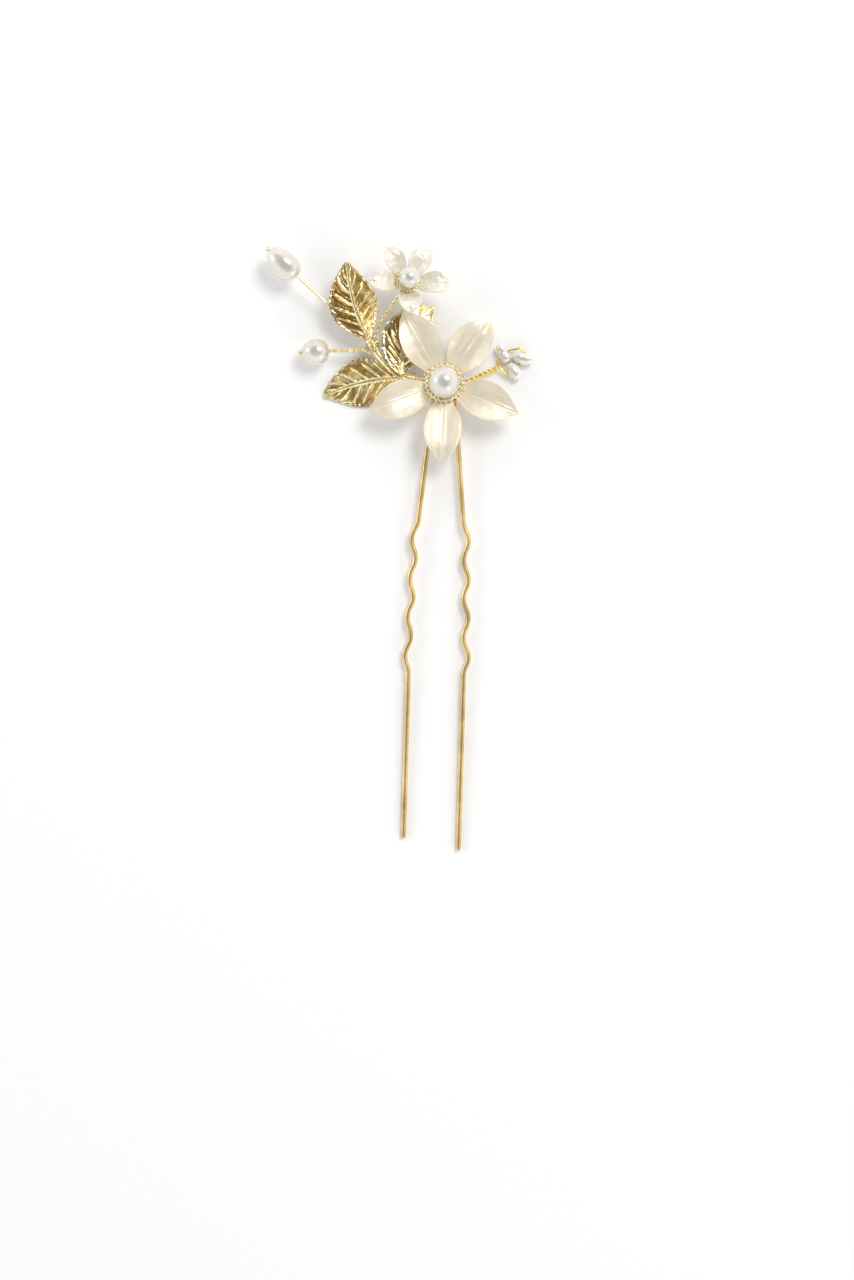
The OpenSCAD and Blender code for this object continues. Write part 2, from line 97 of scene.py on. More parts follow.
class HairPinSizes(bpy.types.PropertyGroup):
    pin_wire: length_prop("Pin wire", "Diameter of the pin's wire", 1.0, 0.5, 2.0)
    stem_wire: length_prop("Stem wire", "Diameter of the plain stem wires", 0.6, 0.3, 0.8)
    strand: length_prop("Twisted strand", "Diameter of one strand of the twisted wires", 0.38, 0.2, 0.5)
    twist_pitch: length_prop("Twist pitch", "Length of one turn of the twisted wires", 2.3, 1.0, 4.0)
    binding_wire: length_prop("Binding wire", "Diameter of the binding wire", 0.35, 0.2, 0.5)
    sheet: length_prop("Sheet", "Thickness of the petals and leaves", 0.3, 0.15, 0.5)
    petal_spread: bpy.props.FloatProperty(
        name="Petal spread", description="Half the angle a large petal fills at its root", subtype="ANGLE",
        default=math.radians(31), min=math.radians(26), max=math.radians(32))
    leaf_veins: count_prop("Leaf veins", "Side veins on each half of a leaf", 6, 4, 10)
    leaf_teeth: count_prop("Leaf teeth", "Teeth on each edge of a leaf", 15, 6, 20)
    collar_beads: count_prop("Collar beads", "Beads on the rim of the large flower's collar", 22, 12, 30)


class HairPinColours(bpy.types.PropertyGroup):
    pin: colour_prop("Pin brass", "Colour of the pin's wire", 0.80, 0.59, 0.27)
    # patina colour, also used as painted shade in the leaves' recesses
    gold: colour_prop("Leaf gold", "Colour of the leaves", 1.0, 0.795, 0.45)
    patina: colour_prop("Leaf patina", "Colour of the leaves' recesses", 0.46, 0.285, 0.088)
    granules: colour_prop("Granule gold", "Colour of the flowers' granulated collars", 1.0, 0.83, 0.54)
    sprig: colour_prop("Sprig gold", "Colour of the side sprig's wire", 1.0, 0.72, 0.14)
    petal: colour_prop("Petal ivory", "Colour of the petals", 0.85, 0.755, 0.575)
    champagne: colour_prop("Petal champagne", "Colour at the petals' roots", 0.93, 0.81, 0.60)
    pearl: colour_prop("Pearl", "Colour of the pearls", 0.83, 0.795, 0.73)


def sizes():
    return bpy.context.scene.hair_pin_sizes


def in_mm(name):
    """One of the lengths that a user can change, in mm."""
    return getattr(sizes(), name) / MM


def hue(name):
    """One of the colours that a user can change."""
    return tuple(getattr(bpy.context.scene.hair_pin_colours, name))


# ---- materials ----


class Shader:
    """A small builder for one node-based material."""

    def __init__(self, name):
        self.material = bpy.data.materials.new(name)
        self.material.use_nodes = True
        self.tree = self.material.node_tree
        self.bsdf = self.tree.nodes["Principled BSDF"]

    def add(self, kind, **values):
        node = self.tree.nodes.new(kind)
        for key, value in values.items():
            setattr(node, key, value)
        return node

    def link(self, source, target):
        self.tree.links.new(source, target)

    def pattern(self, node, scale, stretch, kind):
        """Puts a texture node on stretched coordinates."""
        where = self.add("ShaderNodeTexCoord")
        mapping = self.add("ShaderNodeMapping")
        mapping.inputs["Scale"].default_value = stretch
        self.link(where.outputs[kind], mapping.inputs["Vector"])
        node.inputs["Scale"].default_value = scale
        self.link(mapping.outputs["Vector"], node.inputs["Vector"])

    def noise(self, scale, detail, roughness, stretch=(1, 1, 1), kind="Object"):
        node = self.add("ShaderNodeTexNoise")
        node.inputs["Detail"].default_value = detail
        node.inputs["Roughness"].default_value = roughness
        self.pattern(node, scale, stretch, kind)
        return node.outputs["Fac"]

    def cells(self, scale):
        node = self.add("ShaderNodeTexVoronoi")
        self.pattern(node, scale, (1, 1, 1), "Object")
        return node.outputs["Distance"]

    def ramp(self, source, *stops):
        """A grey ramp of (position, level) stops."""
        node = self.add("ShaderNodeValToRGB")
        for element, (position, level) in zip(node.color_ramp.elements, stops, strict=True):
            element.position, element.color = position, (level, level, level, 1.0)
        self.link(source, node.inputs["Fac"])
        return node.outputs["Color"]

    def mix(self, factor, a, b):
        node = self.add("ShaderNodeMix", data_type="RGBA")
        self.link(factor, node.inputs["Factor"])
        for socket, value in ((node.inputs[6], a), (node.inputs[7], b)):
            if isinstance(value, tuple):
                socket.default_value = (*value, 1.0)
            else:
                self.link(value, socket)
        return node.outputs[2]

    def attribute(self, name):
        return self.add("ShaderNodeAttribute", attribute_name=name).outputs["Fac"]

    def bump(self, source, distance, strength, after=None):
        node = self.add("ShaderNodeBump")
        node.inputs["Distance"].default_value = distance * MM
        node.inputs["Strength"].default_value = strength
        self.link(source, node.inputs["Height"])
        if after is not None:
            self.link(after, node.inputs["Normal"])
        self.link(node.outputs["Normal"], self.bsdf.inputs["Normal"])
        return node.outputs["Normal"]

    def colour(self, source):
        self.link(source, self.bsdf.inputs["Base Color"])

    def roughness(self, source, low, high):
        node = self.add("ShaderNodeMapRange")
        node.inputs["To Min"].default_value = low
        node.inputs["To Max"].default_value = high
        self.link(source, node.inputs["Value"])
        self.link(node.outputs["Result"], self.bsdf.inputs["Roughness"])

    def set(self, **values):
        for key, value in values.items():
            self.bsdf.inputs[key.replace("_", " ")].default_value = value


def scaled(tone, share):
    return tuple(min(1.0, c * share) for c in tone)


def drawn_brass():
    """Satin drawn wire with fine lines along it and soft tarnish."""
    s = Shader("drawn_brass")
    base = hue("pin")
    lines = s.noise(900, 3, 0.6, (9, 0.35, 9))
    tarnish = s.noise(160, 4, 0.6)
    s.colour(s.mix(s.ramp(tarnish, (0.35, 0.0), (0.7, 1.0)), scaled(base, 0.72), scaled(base, 1.22)))
    s.set(Metallic=1.0)
    s.roughness(lines, 0.24, 0.42)
    s.bump(lines, 0.03, 0.5, s.bump(tarnish, 0.04, 0.35))
    return s.material


def gold_wire(name, base, rough=(0.16, 0.3), metallic=1.0):
    """Bright plated wire with small dings and a worn tone."""
    s = Shader(name)
    wear = s.noise(420, 4, 0.6)
    dings = s.noise(2300, 2, 0.5)
    s.colour(s.mix(s.ramp(wear, (0.35, 0.0), (0.65, 1.0)), scaled(base, 0.8), scaled(base, 1.1)))
    s.set(Metallic=metallic)
    s.roughness(wear, *rough)
    s.bump(dings, 0.02, 0.4)
    return s.material


def embossed_gold():
    """Polished leaf gold with a hammered grain: painted highlight on the ridges and rim, and painted shade in a patina
    colour in the recesses.
    """
    s = Shader("embossed_gold")
    base = hue("gold")
    relief = s.attribute("relief")
    cloud = s.noise(380, 5, 0.6)
    grain = s.noise(1500, 3, 0.55)
    dents = s.cells(900)
    worn = s.mix(s.ramp(cloud, (0.3, 0.0), (0.7, 1.0)), scaled(base, 0.82), scaled(base, 1.12))
    # painted light: the mask puts the patina colour in the recesses as painted shade, and the clouded gold on the
    # ridges and rim as painted highlight
    s.colour(s.mix(s.ramp(relief, (0.05, 0.0), (0.48, 1.0)), hue("patina"), worn))
    s.set(Metallic=1.0)
    s.roughness(cloud, 0.11, 0.25)
    s.bump(grain, 0.035, 0.5, s.bump(dents, 0.03, 0.35))
    return s.material


PEARL_CLOUD = (0.90, 0.87, 0.80)
HAMMERED_TONE = (1.04, 1.09, 1.2)


def pearly_enamel(name, hammered):
    """Pearlescent ivory coat over brushed metal, warmer at the petals' roots."""
    s = Shader(name)
    ivory, root = hue("petal"), hue("champagne")
    if hammered:
        ivory = tuple(c * t for c, t in zip(ivory, HAMMERED_TONE, strict=True))
    along = s.attribute("along")
    streaks = s.noise(5.0, 4, 0.6, (0.7, 13, 1), "UV")
    fine = s.noise(9.0, 3, 0.65, (0.8, 34, 1), "UV")
    cloud = s.noise(260, 4, 0.6)
    body = s.mix(s.ramp(streaks, (0.3, 0.0), (0.72, 1.0)), scaled(ivory, 0.89), scaled(ivory, 1.08))
    body = s.mix(s.ramp(cloud, (0.4, 0.0), (0.75, 0.5)), body, PEARL_CLOUD)
    s.colour(s.mix(s.ramp(along, (0.2, 0.0), (0.42, 1.0)), root, body))
    s.set(Metallic=0.35, Coat_Weight=0.2, Coat_Roughness=0.25, Specular_IOR_Level=0.5)
    s.roughness(streaks, 0.30, 0.46)
    first = s.bump(streaks, 0.08 if hammered else 0.05, 0.5)
    second = s.bump(fine, 0.025, 0.5, first)
    if hammered:
        s.bump(s.cells(780), 0.22, 0.75, second)
    return s.material


def nacre(name, tone):
    """Pearl lustre: a clear gloss over softly clouded, slightly uneven nacre."""
    s = Shader(name)
    base = tuple(c * t for c, t in zip(hue("pearl"), tone, strict=True))
    cloud = s.noise(230, 4, 0.6)
    ripple = s.noise(620, 2, 0.5)
    s.colour(s.mix(s.ramp(cloud, (0.35, 0.0), (0.7, 1.0)), scaled(base, 0.88), scaled(base, 1.02)))
    s.set(Coat_Weight=0.7, Coat_Roughness=0.08, Specular_IOR_Level=0.6, Metallic=0.5,
          Subsurface_Weight=0.12, Subsurface_Scale=0.0008)
    s.roughness(cloud, 0.14, 0.26)
    s.bump(ripple, 0.03, 0.35)
    return s.material


def table_white():
    """Matt white board with a barely visible tooth."""
    s = Shader("table_white")
    tooth = s.noise(900, 2, 0.5)
    s.colour(s.ramp(tooth, (0.0, 0.93), (1.0, 0.96)))
    s.set(Roughness=0.9, Specular_IOR_Level=0.1)
    s.bump(tooth, 0.02, 0.1)
    return s.material


MAKERS = {
    "drawn_brass": drawn_brass,
    "gold_wire": lambda: gold_wire("gold_wire", hue("gold")),
    "sprig_gold": lambda: gold_wire("sprig_gold", hue("sprig"), (0.14, 0.26)),
    "granulated_gold": lambda: gold_wire("granulated_gold", hue("granules"), (0.2, 0.36), 0.8),
    "embossed_gold": embossed_gold,
    "petal_enamel": lambda: pearly_enamel("petal_enamel", False),
    "hammered_enamel": lambda: pearly_enamel("hammered_enamel", True),
    "bead_pearl": lambda: nacre("bead_pearl", (1.0, 1.0, 1.0)),
    "river_pearl": lambda: nacre("river_pearl", (1.03, 1.01, 0.99)),
    "rice_pearl": lambda: nacre("rice_pearl", (1.12, 1.12, 1.14)),
    "table_white": table_white,
}
FINISHES = {}


def finish(name):
    """The material of that name, made when it is first asked for."""
    if name not in FINISHES:
        FINISHES[name] = MAKERS[name]()
    return FINISHES[name]


# ---- places and lines ----

FLEX_GAP = 0.14
BEND_R, SPLAY = 1.95, 5.5
LEG_UPPER, LEG_LOWER, RIGHT_EXTRA = 24.8, 32.0, 2.0
CRIMP_PITCH, CRIMP_ANGLE, CRIMP_COUNT, CRIMP_LEAN = 3.68, 24.0, 7, 1.6
WIRE_SLOPE, STEM_CLIMB = 1.15, 5.0
SPRAY_BASE = np.array([0.0, 2.0, 0.83])
MAIN_STEM = [(0.3, 0), (-2.5, 0), (-8.9, 1.3), (-12.9, 4.8), (-14.3, 7.65)]


def rotation(axis, degrees):
    return np.array(Matrix.Rotation(math.radians(degrees), 3, axis))


def unit(v):
    v = np.array(v, float)
    return v / np.linalg.norm(v)


def placed(points, place):
    """Points in a place's own frame, moved to (origin, heading, climb, roll)."""
    origin, heading, climb, roll = place
    turn = rotation("Z", heading) @ rotation("Y", -climb) @ rotation("X", roll)
    return np.asarray(points, float) @ turn.T + np.array(origin, float)


def on_spray(x, y, z=0.0):
    a = math.radians(STEM_CLIMB)
    return SPRAY_BASE + np.array([x, y * math.cos(a), y * math.sin(a) + z])


def stem_side(i, d):
    """A corner of the main stem, moved sideways by d."""
    points = [np.array(p, float) for p in MAIN_STEM]
    a = unit(points[1] - points[0]) if i == 0 else unit(points[i] - points[i - 1])
    b = a if i == len(points) - 1 else unit(points[i + 1] - points[i])
    m = unit(a + b)
    return points[i] + np.array([-m[1], m[0]]) * d / (m @ a)


def softened(points, rounds=3, share=0.2):
    """Corners cut again and again, with the ends kept."""
    points = [np.array(p, float) for p in points]
    for _ in range(rounds):
        cut = [points[0]]
        for a, b in zip(points, points[1:], strict=False):
            cut += [a + (b - a) * share, b - (b - a) * share]
        points = [*cut, points[-1]]
    return points


def filleted(points, radius, steps=8):
    """Corner points with each corner replaced by an arc."""
    points = [np.array(p, float) for p in points]
    out = [points[0]]
    for a, b, c in zip(points, points[1:], points[2:], strict=False):
        d1, d2 = unit(b - a), unit(c - b)
        turn = math.acos(max(-1.0, min(1.0, float(d1 @ d2))))
        if turn < 1e-4:
            out.append(b)
            continue
        room = 0.49 * min(np.linalg.norm(b - a), np.linalg.norm(c - b))
        r = min(radius, room / math.tan(turn / 2))
        inward = unit(np.cross(np.cross(d1, d2), d1))
        start = b - d1 * r * math.tan(turn / 2)
        for k in range(steps + 1):
            t = turn * k / steps
            out.append(start + inward * r * (1 - math.cos(t)) + d1 * r * math.sin(t))
    return [*out, points[-1]]


# ---- meshes ----


def link_object(name, mesh, material):
    piece = bpy.data.objects.new(name, mesh)
    bpy.context.scene.collection.objects.link(piece)
    if material is not None:
        mesh.materials.clear()
        mesh.materials.append(material)
    return piece


def mesh_from(name, points_mm, faces, material, smooth=True):
    mesh = bpy.data.meshes.new(name)
    mesh.from_pydata((np.asarray(points_mm, float) * MM).tolist(), [], faces)
    mesh.validate()
    if smooth:
        mesh.shade_smooth()
    return link_object(name, mesh, material)


def face_out(piece, merge=True):
    """Turns every face outwards, with doubles merged first."""
    bm = bmesh.new()
    bm.from_mesh(piece.data)
    if merge:
        bmesh.ops.remove_doubles(bm, verts=bm.verts, dist=0.002 * MM)
    bmesh.ops.recalc_face_normals(bm, faces=bm.faces)
    bm.to_mesh(piece.data)
    bm.free()


def sheet_patch(top, thickness):
    """Points and faces of a closed sheet: the top grid, the same grid moved down its normals, and the rim."""
    rows, cols = top.shape[:2]
    across = np.gradient(top, axis=1)
    along = np.gradient(top, axis=0)
    normals = np.cross(along, across)
    normals /= np.maximum(np.linalg.norm(normals, axis=2, keepdims=True), 1e-9)
    if normals[rows // 2, cols // 2, 2] < 0:
        normals = -normals
    bottom = top - normals * thickness
    count = rows * cols
    faces = []
    for i in range(rows - 1):
        for j in range(cols - 1):
            a, b, c, d = i * cols + j, i * cols + j + 1, (i + 1) * cols + j + 1, (i + 1) * cols + j
            faces += [(a, d, c, b), (a + count, b + count, c + count, d + count)]
    rim = ([(0, j) for j in range(cols)] + [(i, cols - 1) for i in range(1, rows)]
           + [(rows - 1, j) for j in range(cols - 2, -1, -1)] + [(i, 0) for i in range(rows - 2, 0, -1)])
    loop = [i * cols + j for i, j in rim]
    for a, b in zip(loop, loop[1:] + loop[:1], strict=True):
        faces.append((a, b, b + count, a + count))
    return np.concatenate([top.reshape(-1, 3), bottom.reshape(-1, 3)]), faces


def sheet_piece(name, patch, thickness, material):
    """A closed sheet from a patch: a grid of points, values for each named attribute, and uv."""
    grid, named, uv = patch
    piece = mesh_from(name, *sheet_patch(grid, thickness), material)
    mesh = piece.data
    for key, value in named.items():
        layer = mesh.attributes.new(key, "FLOAT", "POINT")
        layer.data.foreach_set("value", np.tile(value.ravel(), 2).astype(np.float32))
    corner = np.zeros(len(mesh.loops), np.int32)
    mesh.loops.foreach_get("vertex_index", corner)
    layer = mesh.uv_layers.new(name="UVMap")
    layer.data.foreach_set("uv", np.tile(uv.reshape(-1, 2), (2, 1))[corner].astype(np.float32).ravel())
    face_out(piece, merge=False)
    mesh.set_sharp_from_angle(angle=math.radians(62))
    return piece


def waves(points, seed, scale, octaves=3):
    """Smooth repeatable noise, about -1 to 1, from sums of sines."""
    random = np.random.default_rng(seed)
    total, weight = np.zeros(len(points)), 0.0
    for k in range(octaves):
        for _ in range(4):
            direction = random.normal(size=3)
            direction *= scale * (1.8 ** k) / np.linalg.norm(direction)
            total += np.sin(points @ direction + random.uniform(0, 6.28)) * 0.6 ** k
        weight += 2.0 * 0.6 ** k
    return total / weight


def lathed(profile, segments, hollow):
    """A turned shape along +X from (x, radius) pairs: a closed ring of walls if hollow, else with flat ends."""
    rings = len(profile)
    angles = [2 * math.pi * k / segments for k in range(segments)]
    points = np.array([(x, r * math.cos(a), r * math.sin(a)) for x, r in profile for a in angles])
    faces = []
    for i in range(rings if hollow else rings - 1):
        here, there = i * segments, (i + 1) % rings * segments
        for k in range(segments):
            n = (k + 1) % segments
            faces.append((here + k, here + n, there + n, there + k))
    if not hollow:
        faces += [tuple(range(segments - 1, -1, -1)), tuple(range((rings - 1) * segments, rings * segments))]
    return points, faces


def pearl_profile(half, radius, full, waist, steps):
    """(x, radius) pairs of a pearl that narrows towards its ends and at its waist."""
    pairs = []
    for k in range(steps + 1):
        a = -math.pi / 2 + math.pi * k / steps
        z = math.sin(a)
        pairs.append((half * z, radius * max(math.cos(a), 0.0) ** full * (1 - waist * math.exp(-9 * z * z))))
    return pairs


# ---- geometry nodes: wound wire and beads ----


class Nodes:
    """A small builder for one geometry tree."""

    def __init__(self, name):
        self.tree = bpy.data.node_groups.new(name, "GeometryNodeTree")
        self.tree.is_modifier = True
        self.tree.interface.new_socket("Geometry", in_out="OUTPUT", socket_type="NodeSocketGeometry")
        self.inputs = None

    def ask(self, *sockets):
        """Adds the named inputs and returns their identifiers."""
        ids = {}
        for name, kind, default in sockets:
            made = self.tree.interface.new_socket(name, in_out="INPUT", socket_type="NodeSocket" + kind)
            if default is not None:
                made.default_value = default
            ids[name] = made.identifier
        self.inputs = self.tree.nodes.new("NodeGroupInput").outputs
        return ids

    def add(self, kind, ins=None, **values):
        node = self.tree.nodes.new(kind)
        for key, value in values.items():
            setattr(node, key, value)
        for key, value in (ins or {}).items():
            socket = node.inputs[key]
            if isinstance(value, bpy.types.NodeSocket):
                self.tree.links.new(value, socket)
            else:
                socket.default_value = value
        return node

    def math(self, operation, a, b=0.0):
        return self.add("ShaderNodeMath", {0: a, 1: b}, operation=operation).outputs[0]

    def vector(self, operation, a, b=None, scale=None):
        ins = {0: a}
        if b is not None:
            ins[1] = b
        if scale is not None:
            ins["Scale"] = scale
        return self.add("ShaderNodeVectorMath", ins, operation=operation).outputs[0]

    def end(self, geometry):
        real = self.add("GeometryNodeRealizeInstances", {"Geometry": geometry}).outputs[0]
        dressed = self.add("GeometryNodeSetMaterial", {"Geometry": real, "Material": self.inputs["Material"]})
        out = self.tree.nodes.new("NodeGroupOutput")
        self.tree.links.new(dressed.outputs[0], out.inputs[0])


def wound_wire_tree():
    """Strands that wind round a line: one strand with no winding is a plain wire."""
    n = Nodes("wound_wire")
    ids = n.ask(
        ("Line", "Geometry", None), ("Strand Radius", "Float", 0.0002), ("Winding Radius", "Float", 0.0),
        ("Pitch", "Float", 0.002), ("Strands", "Int", 1), ("Step", "Float", 0.0001), ("Sides", "Int", 12),
        ("Material", "Material", None))
    i = n.inputs
    curve = n.add("GeometryNodeMeshToCurve", {"Mesh": i["Line"]}).outputs[0]
    curve = n.add("GeometryNodeSetCurveNormal", {"Curve": curve}).outputs[0]
    resampled = n.add("GeometryNodeResampleCurve", {"Curve": curve, "Length": i["Step"]}, mode="LENGTH")
    copies = n.add("GeometryNodeDuplicateElements",
                   {"Geometry": resampled.outputs[0], "Amount": i["Strands"]}, domain="SPLINE")
    along = n.add("GeometryNodeSplineParameter").outputs["Length"]
    turns = n.math("DIVIDE", along, i["Pitch"])
    phase = n.math("DIVIDE", copies.outputs["Duplicate Index"], i["Strands"])
    angle = n.math("MULTIPLY", n.math("ADD", turns, phase), 2 * math.pi)
    tangent = n.add("GeometryNodeInputTangent").outputs[0]
    normal = n.add("GeometryNodeInputNormal").outputs[0]
    side = n.vector("CROSS_PRODUCT", tangent, normal)
    a = n.vector("SCALE", normal, scale=n.math("MULTIPLY", n.math("COSINE", angle), i["Winding Radius"]))
    b = n.vector("SCALE", side, scale=n.math("MULTIPLY", n.math("SINE", angle), i["Winding Radius"]))
    moved = n.add("GeometryNodeSetPosition",
                  {"Geometry": copies.outputs["Geometry"], "Offset": n.vector("ADD", a, b)}).outputs[0]
    profile = n.add("GeometryNodeCurvePrimitiveCircle",
                    {"Resolution": i["Sides"], "Radius": i["Strand Radius"]}).outputs[0]
    tube = n.add("GeometryNodeCurveToMesh", {"Curve": moved, "Profile Curve": profile, "Fill Caps": True}).outputs[0]
    n.end(n.add("GeometryNodeSetShadeSmooth", {"Geometry": tube}).outputs[0])
    return n.tree, ids


def beaded_ring_tree():
    """Slightly uneven beads on a ring."""
    n = Nodes("beaded_ring")
    ids = n.ask(
        ("Ring", "Geometry", None), ("Ring Radius", "Float", 0.003), ("Bead Radius", "Float", 0.0004),
        ("Count", "Int", 20), ("Unevenness", "Float", 0.12), ("Scatter", "Float", 0.0), ("Seed", "Int", 1),
        ("Material", "Material", None))
    i = n.inputs
    ring = n.add("GeometryNodeMeshCircle", {"Vertices": i["Count"], "Radius": i["Ring Radius"]}).outputs[0]
    low, high = (n.vector("SCALE", reach, scale=i["Scatter"]) for reach in ((-1.0, -1.0, -0.3), (1.0, 1.0, 0.3)))
    shift = n.add("FunctionNodeRandomValue", {0: low, 1: high, "Seed": i["Seed"]}, data_type="FLOAT_VECTOR")
    ring = n.add("GeometryNodeSetPosition", {"Geometry": ring, "Offset": shift.outputs[0]}).outputs[0]
    smallest = n.math("SUBTRACT", 1.0, i["Unevenness"])
    size = n.add("FunctionNodeRandomValue", {2: smallest, 3: 1.0, "Seed": i["Seed"]}, data_type="FLOAT")
    bead = n.add("GeometryNodeMeshIcoSphere", {"Radius": i["Bead Radius"], "Subdivisions": 3}).outputs[0]
    beads = n.add("GeometryNodeInstanceOnPoints", {"Points": ring, "Instance": bead, "Scale": size.outputs[1]})
    real = n.add("GeometryNodeRealizeInstances", {"Geometry": beads.outputs[0]}).outputs[0]
    n.end(n.add("GeometryNodeSetShadeSmooth", {"Geometry": real}).outputs[0])
    return n.tree, ids


TREES = {}


def grown(name, carrier_points, tree_maker, material, values):
    """Runs a tree on a line of points and returns the result as a plain mesh piece."""
    if tree_maker not in TREES:
        TREES[tree_maker] = tree_maker()
    tree, ids = TREES[tree_maker]
    mesh = bpy.data.meshes.new(name + "_line")
    edges = [(k, k + 1) for k in range(len(carrier_points) - 1)]
    mesh.from_pydata((np.asarray(carrier_points, float) * MM).tolist(), edges, [])
    carrier = bpy.data.objects.new(name + "_line", mesh)
    bpy.context.scene.collection.objects.link(carrier)
    modifier = carrier.modifiers.new("grow", "NODES")
    modifier.node_group = tree
    for key, value in values.items():
        modifier[ids[key]] = value
    modifier[ids["Material"]] = material
    bpy.context.view_layer.update()
    graph = bpy.context.evaluated_depsgraph_get()
    result = bpy.data.meshes.new_from_object(carrier.evaluated_get(graph))
    result.name = name
    bpy.data.objects.remove(carrier)
    if not len(result.polygons):
        raise RuntimeError(f"{name} came out empty")
    return link_object(name, result, material)


def wire_piece(name, line, diameter, material, winding=0.0, pitch=2.0, strands=1, step=0.12, sides=16):
    return grown(name, line, wound_wire_tree, material, {
        "Strand Radius": diameter / 2 * MM, "Winding Radius": winding * MM, "Pitch": pitch * MM,
        "Strands": strands, "Step": step * MM, "Sides": sides})


def coil_piece(name, line, diameter, radius, pitch):
    """A binding wire wound round a line."""
    return wire_piece(name, line, diameter, finish("gold_wire"), radius, pitch, 1, 0.06, 10)


def bead_ring(name, radius, bead, count, material, seed, scatter):
    return grown(name, [(0, 0, 0), (1, 0, 0)], beaded_ring_tree, material, {
        "Ring Radius": radius * MM, "Bead Radius": bead * MM, "Count": count, "Unevenness": 0.3,
        "Scatter": scatter * MM, "Seed": seed})


def joined(name, pieces):
    """One piece from several, with their materials and attributes kept."""
    with bpy.context.temp_override(active_object=pieces[0], selected_editable_objects=pieces,
                                   selected_objects=pieces):
        bpy.ops.object.join()
    pieces[0].name = pieces[0].data.name = name
    return pieces[0]


def moved(piece, function):
    """Applies a function on points in mm to a piece's mesh."""
    mesh = piece.data
    co = np.zeros(len(mesh.vertices) * 3)
    mesh.vertices.foreach_get("co", co)
    mesh.vertices.foreach_set("co", (function(co.reshape(-1, 3) / MM) * MM).ravel())
    mesh.update()
    return piece


def settle(piece, body, slot, *nodes):
    """Puts a finished piece on its body in the place of its CAD nodes."""
    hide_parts(*nodes)
    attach(piece, body)
    return piece


def gold_part(name, pieces, node):
    """Joins pieces of wire and puts them on the spray."""
    settle(joined(name, pieces), SPRAY, "gold_wire", node)


def joint(name):
    return next(j for j in frame["joints"] if j["name"] == name)


def joint_line(name):
    """A joint's middle in mm, its direction, and the turn from +X to it."""
    found = joint(name)
    axis = unit(found["axis"])
    turn = np.array(Vector((1, 0, 0)).rotation_difference(Vector(axis)).to_matrix())
    return np.array(found["pos_m"]) / MM, axis, turn


# ---- the pin ----


def leg_line(side, lower):
    """A leg's middle line in mm, from the top of the bend to the tip."""
    root = BEND_R * np.array([math.cos(math.radians(SPLAY)), math.sin(math.radians(SPLAY)), 0])
    down = np.array([math.sin(math.radians(SPLAY)), -math.cos(math.radians(SPLAY)), 0])
    knee = root + down * (LEG_UPPER + FLEX_GAP / 2)
    lean, out = math.radians(CRIMP_LEAN), math.radians(CRIMP_LEAN + CRIMP_ANGLE)
    slope = CRIMP_PITCH / math.cos(math.radians(CRIMP_ANGLE))
    swing = CRIMP_PITCH * math.tan(math.radians(CRIMP_ANGLE))
    first = knee + slope * 0.82 * np.array([math.sin(out), -math.cos(out), 0])
    step = np.array([math.sin(lean), -math.cos(lean), 0]) * CRIMP_PITCH
    across = np.array([math.cos(lean), math.sin(lean), 0])
    crimps = [first + step * k - across * (swing if k % 2 else 0) for k in range(CRIMP_COUNT)]
    inwards = math.radians(CRIMP_ANGLE - CRIMP_LEAN)
    foot = crimps[-1] + slope * 0.72 * np.array([-math.sin(inwards), -math.cos(inwards), 0])
    fillet = 0.9 * CRIMP_PITCH / (2 * math.sin(math.radians(CRIMP_ANGLE)))
    corners = [root, knee, *crimps, foot, foot - np.array([0, lower, 0])]
    arc = [BEND_R * np.array([math.cos(t), math.sin(t), 0])
           for t in np.linspace(math.pi / 2, math.radians(SPLAY), 14)]
    line = np.array(arc[:-1] + filleted(corners, fillet))
    line[:, 0] *= side
    return line @ rotation("X", WIRE_SLOPE).T


class HAIRPIN_OT_legs(bpy.types.Operator):
    """Build the pin's two halves, each running smoothly from the bend into its leg"""

    bl_idname = "hairpin.legs"
    bl_label = "Pin Wire"

    def execute(self, context):
        for side, name, lower, nodes in ((-1, "left_leg", LEG_LOWER, ("left_leg", "pin_bend")),
                                         (1, "right_leg", LEG_LOWER + RIGHT_EXTRA, ("right_leg",))):
            line = leg_line(side, lower)
            piece = wire_piece("pin_wire_" + name, line, in_mm("pin_wire"), finish("drawn_brass"), step=0.2, sides=24)
            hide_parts(*nodes)
            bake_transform(piece)
        return {"FINISHED"}


# ---- stems and bindings ----

STEM_GAP = 0.1
SMALL_TURN, SMALL_FOOT, OVAL_END = (-12.6, 11.4), (-8.2, 17.8), (-34.2, 24.3)
SMALL_TILT = 16
# length and diameter of the pearls on stems
OVAL_SIZE, ROUND_SIZE = (7.3, 4.9), (5.2, 4.8)


def small_flower_axis():
    run = unit(on_spray(*SMALL_FOOT) - on_spray(*SMALL_TURN))
    heading = math.atan2(run[1], run[0])
    tilt = math.radians(SMALL_TILT)
    axis = np.array([math.sin(tilt) * math.cos(heading), math.sin(tilt) * math.sin(heading), math.cos(tilt)])
    return axis, math.degrees(heading)


SMALL_AXIS, SMALL_HEADING = small_flower_axis()
SMALL_HUB = on_spray(*SMALL_FOOT) + SMALL_AXIS * 3.4


def on_small_flower(points):
    turn = rotation("Z", SMALL_HEADING) @ rotation("Y", SMALL_TILT) @ rotation("Z", -SMALL_HEADING)
    return np.asarray(points, float) @ turn.T + SMALL_HUB


def stem_lines():
    half = in_mm("stem_wire") / 2 + STEM_GAP / 2
    return ([on_spray(*stem_side(i, d)) for i in range(len(MAIN_STEM))] for d in (half, -half))


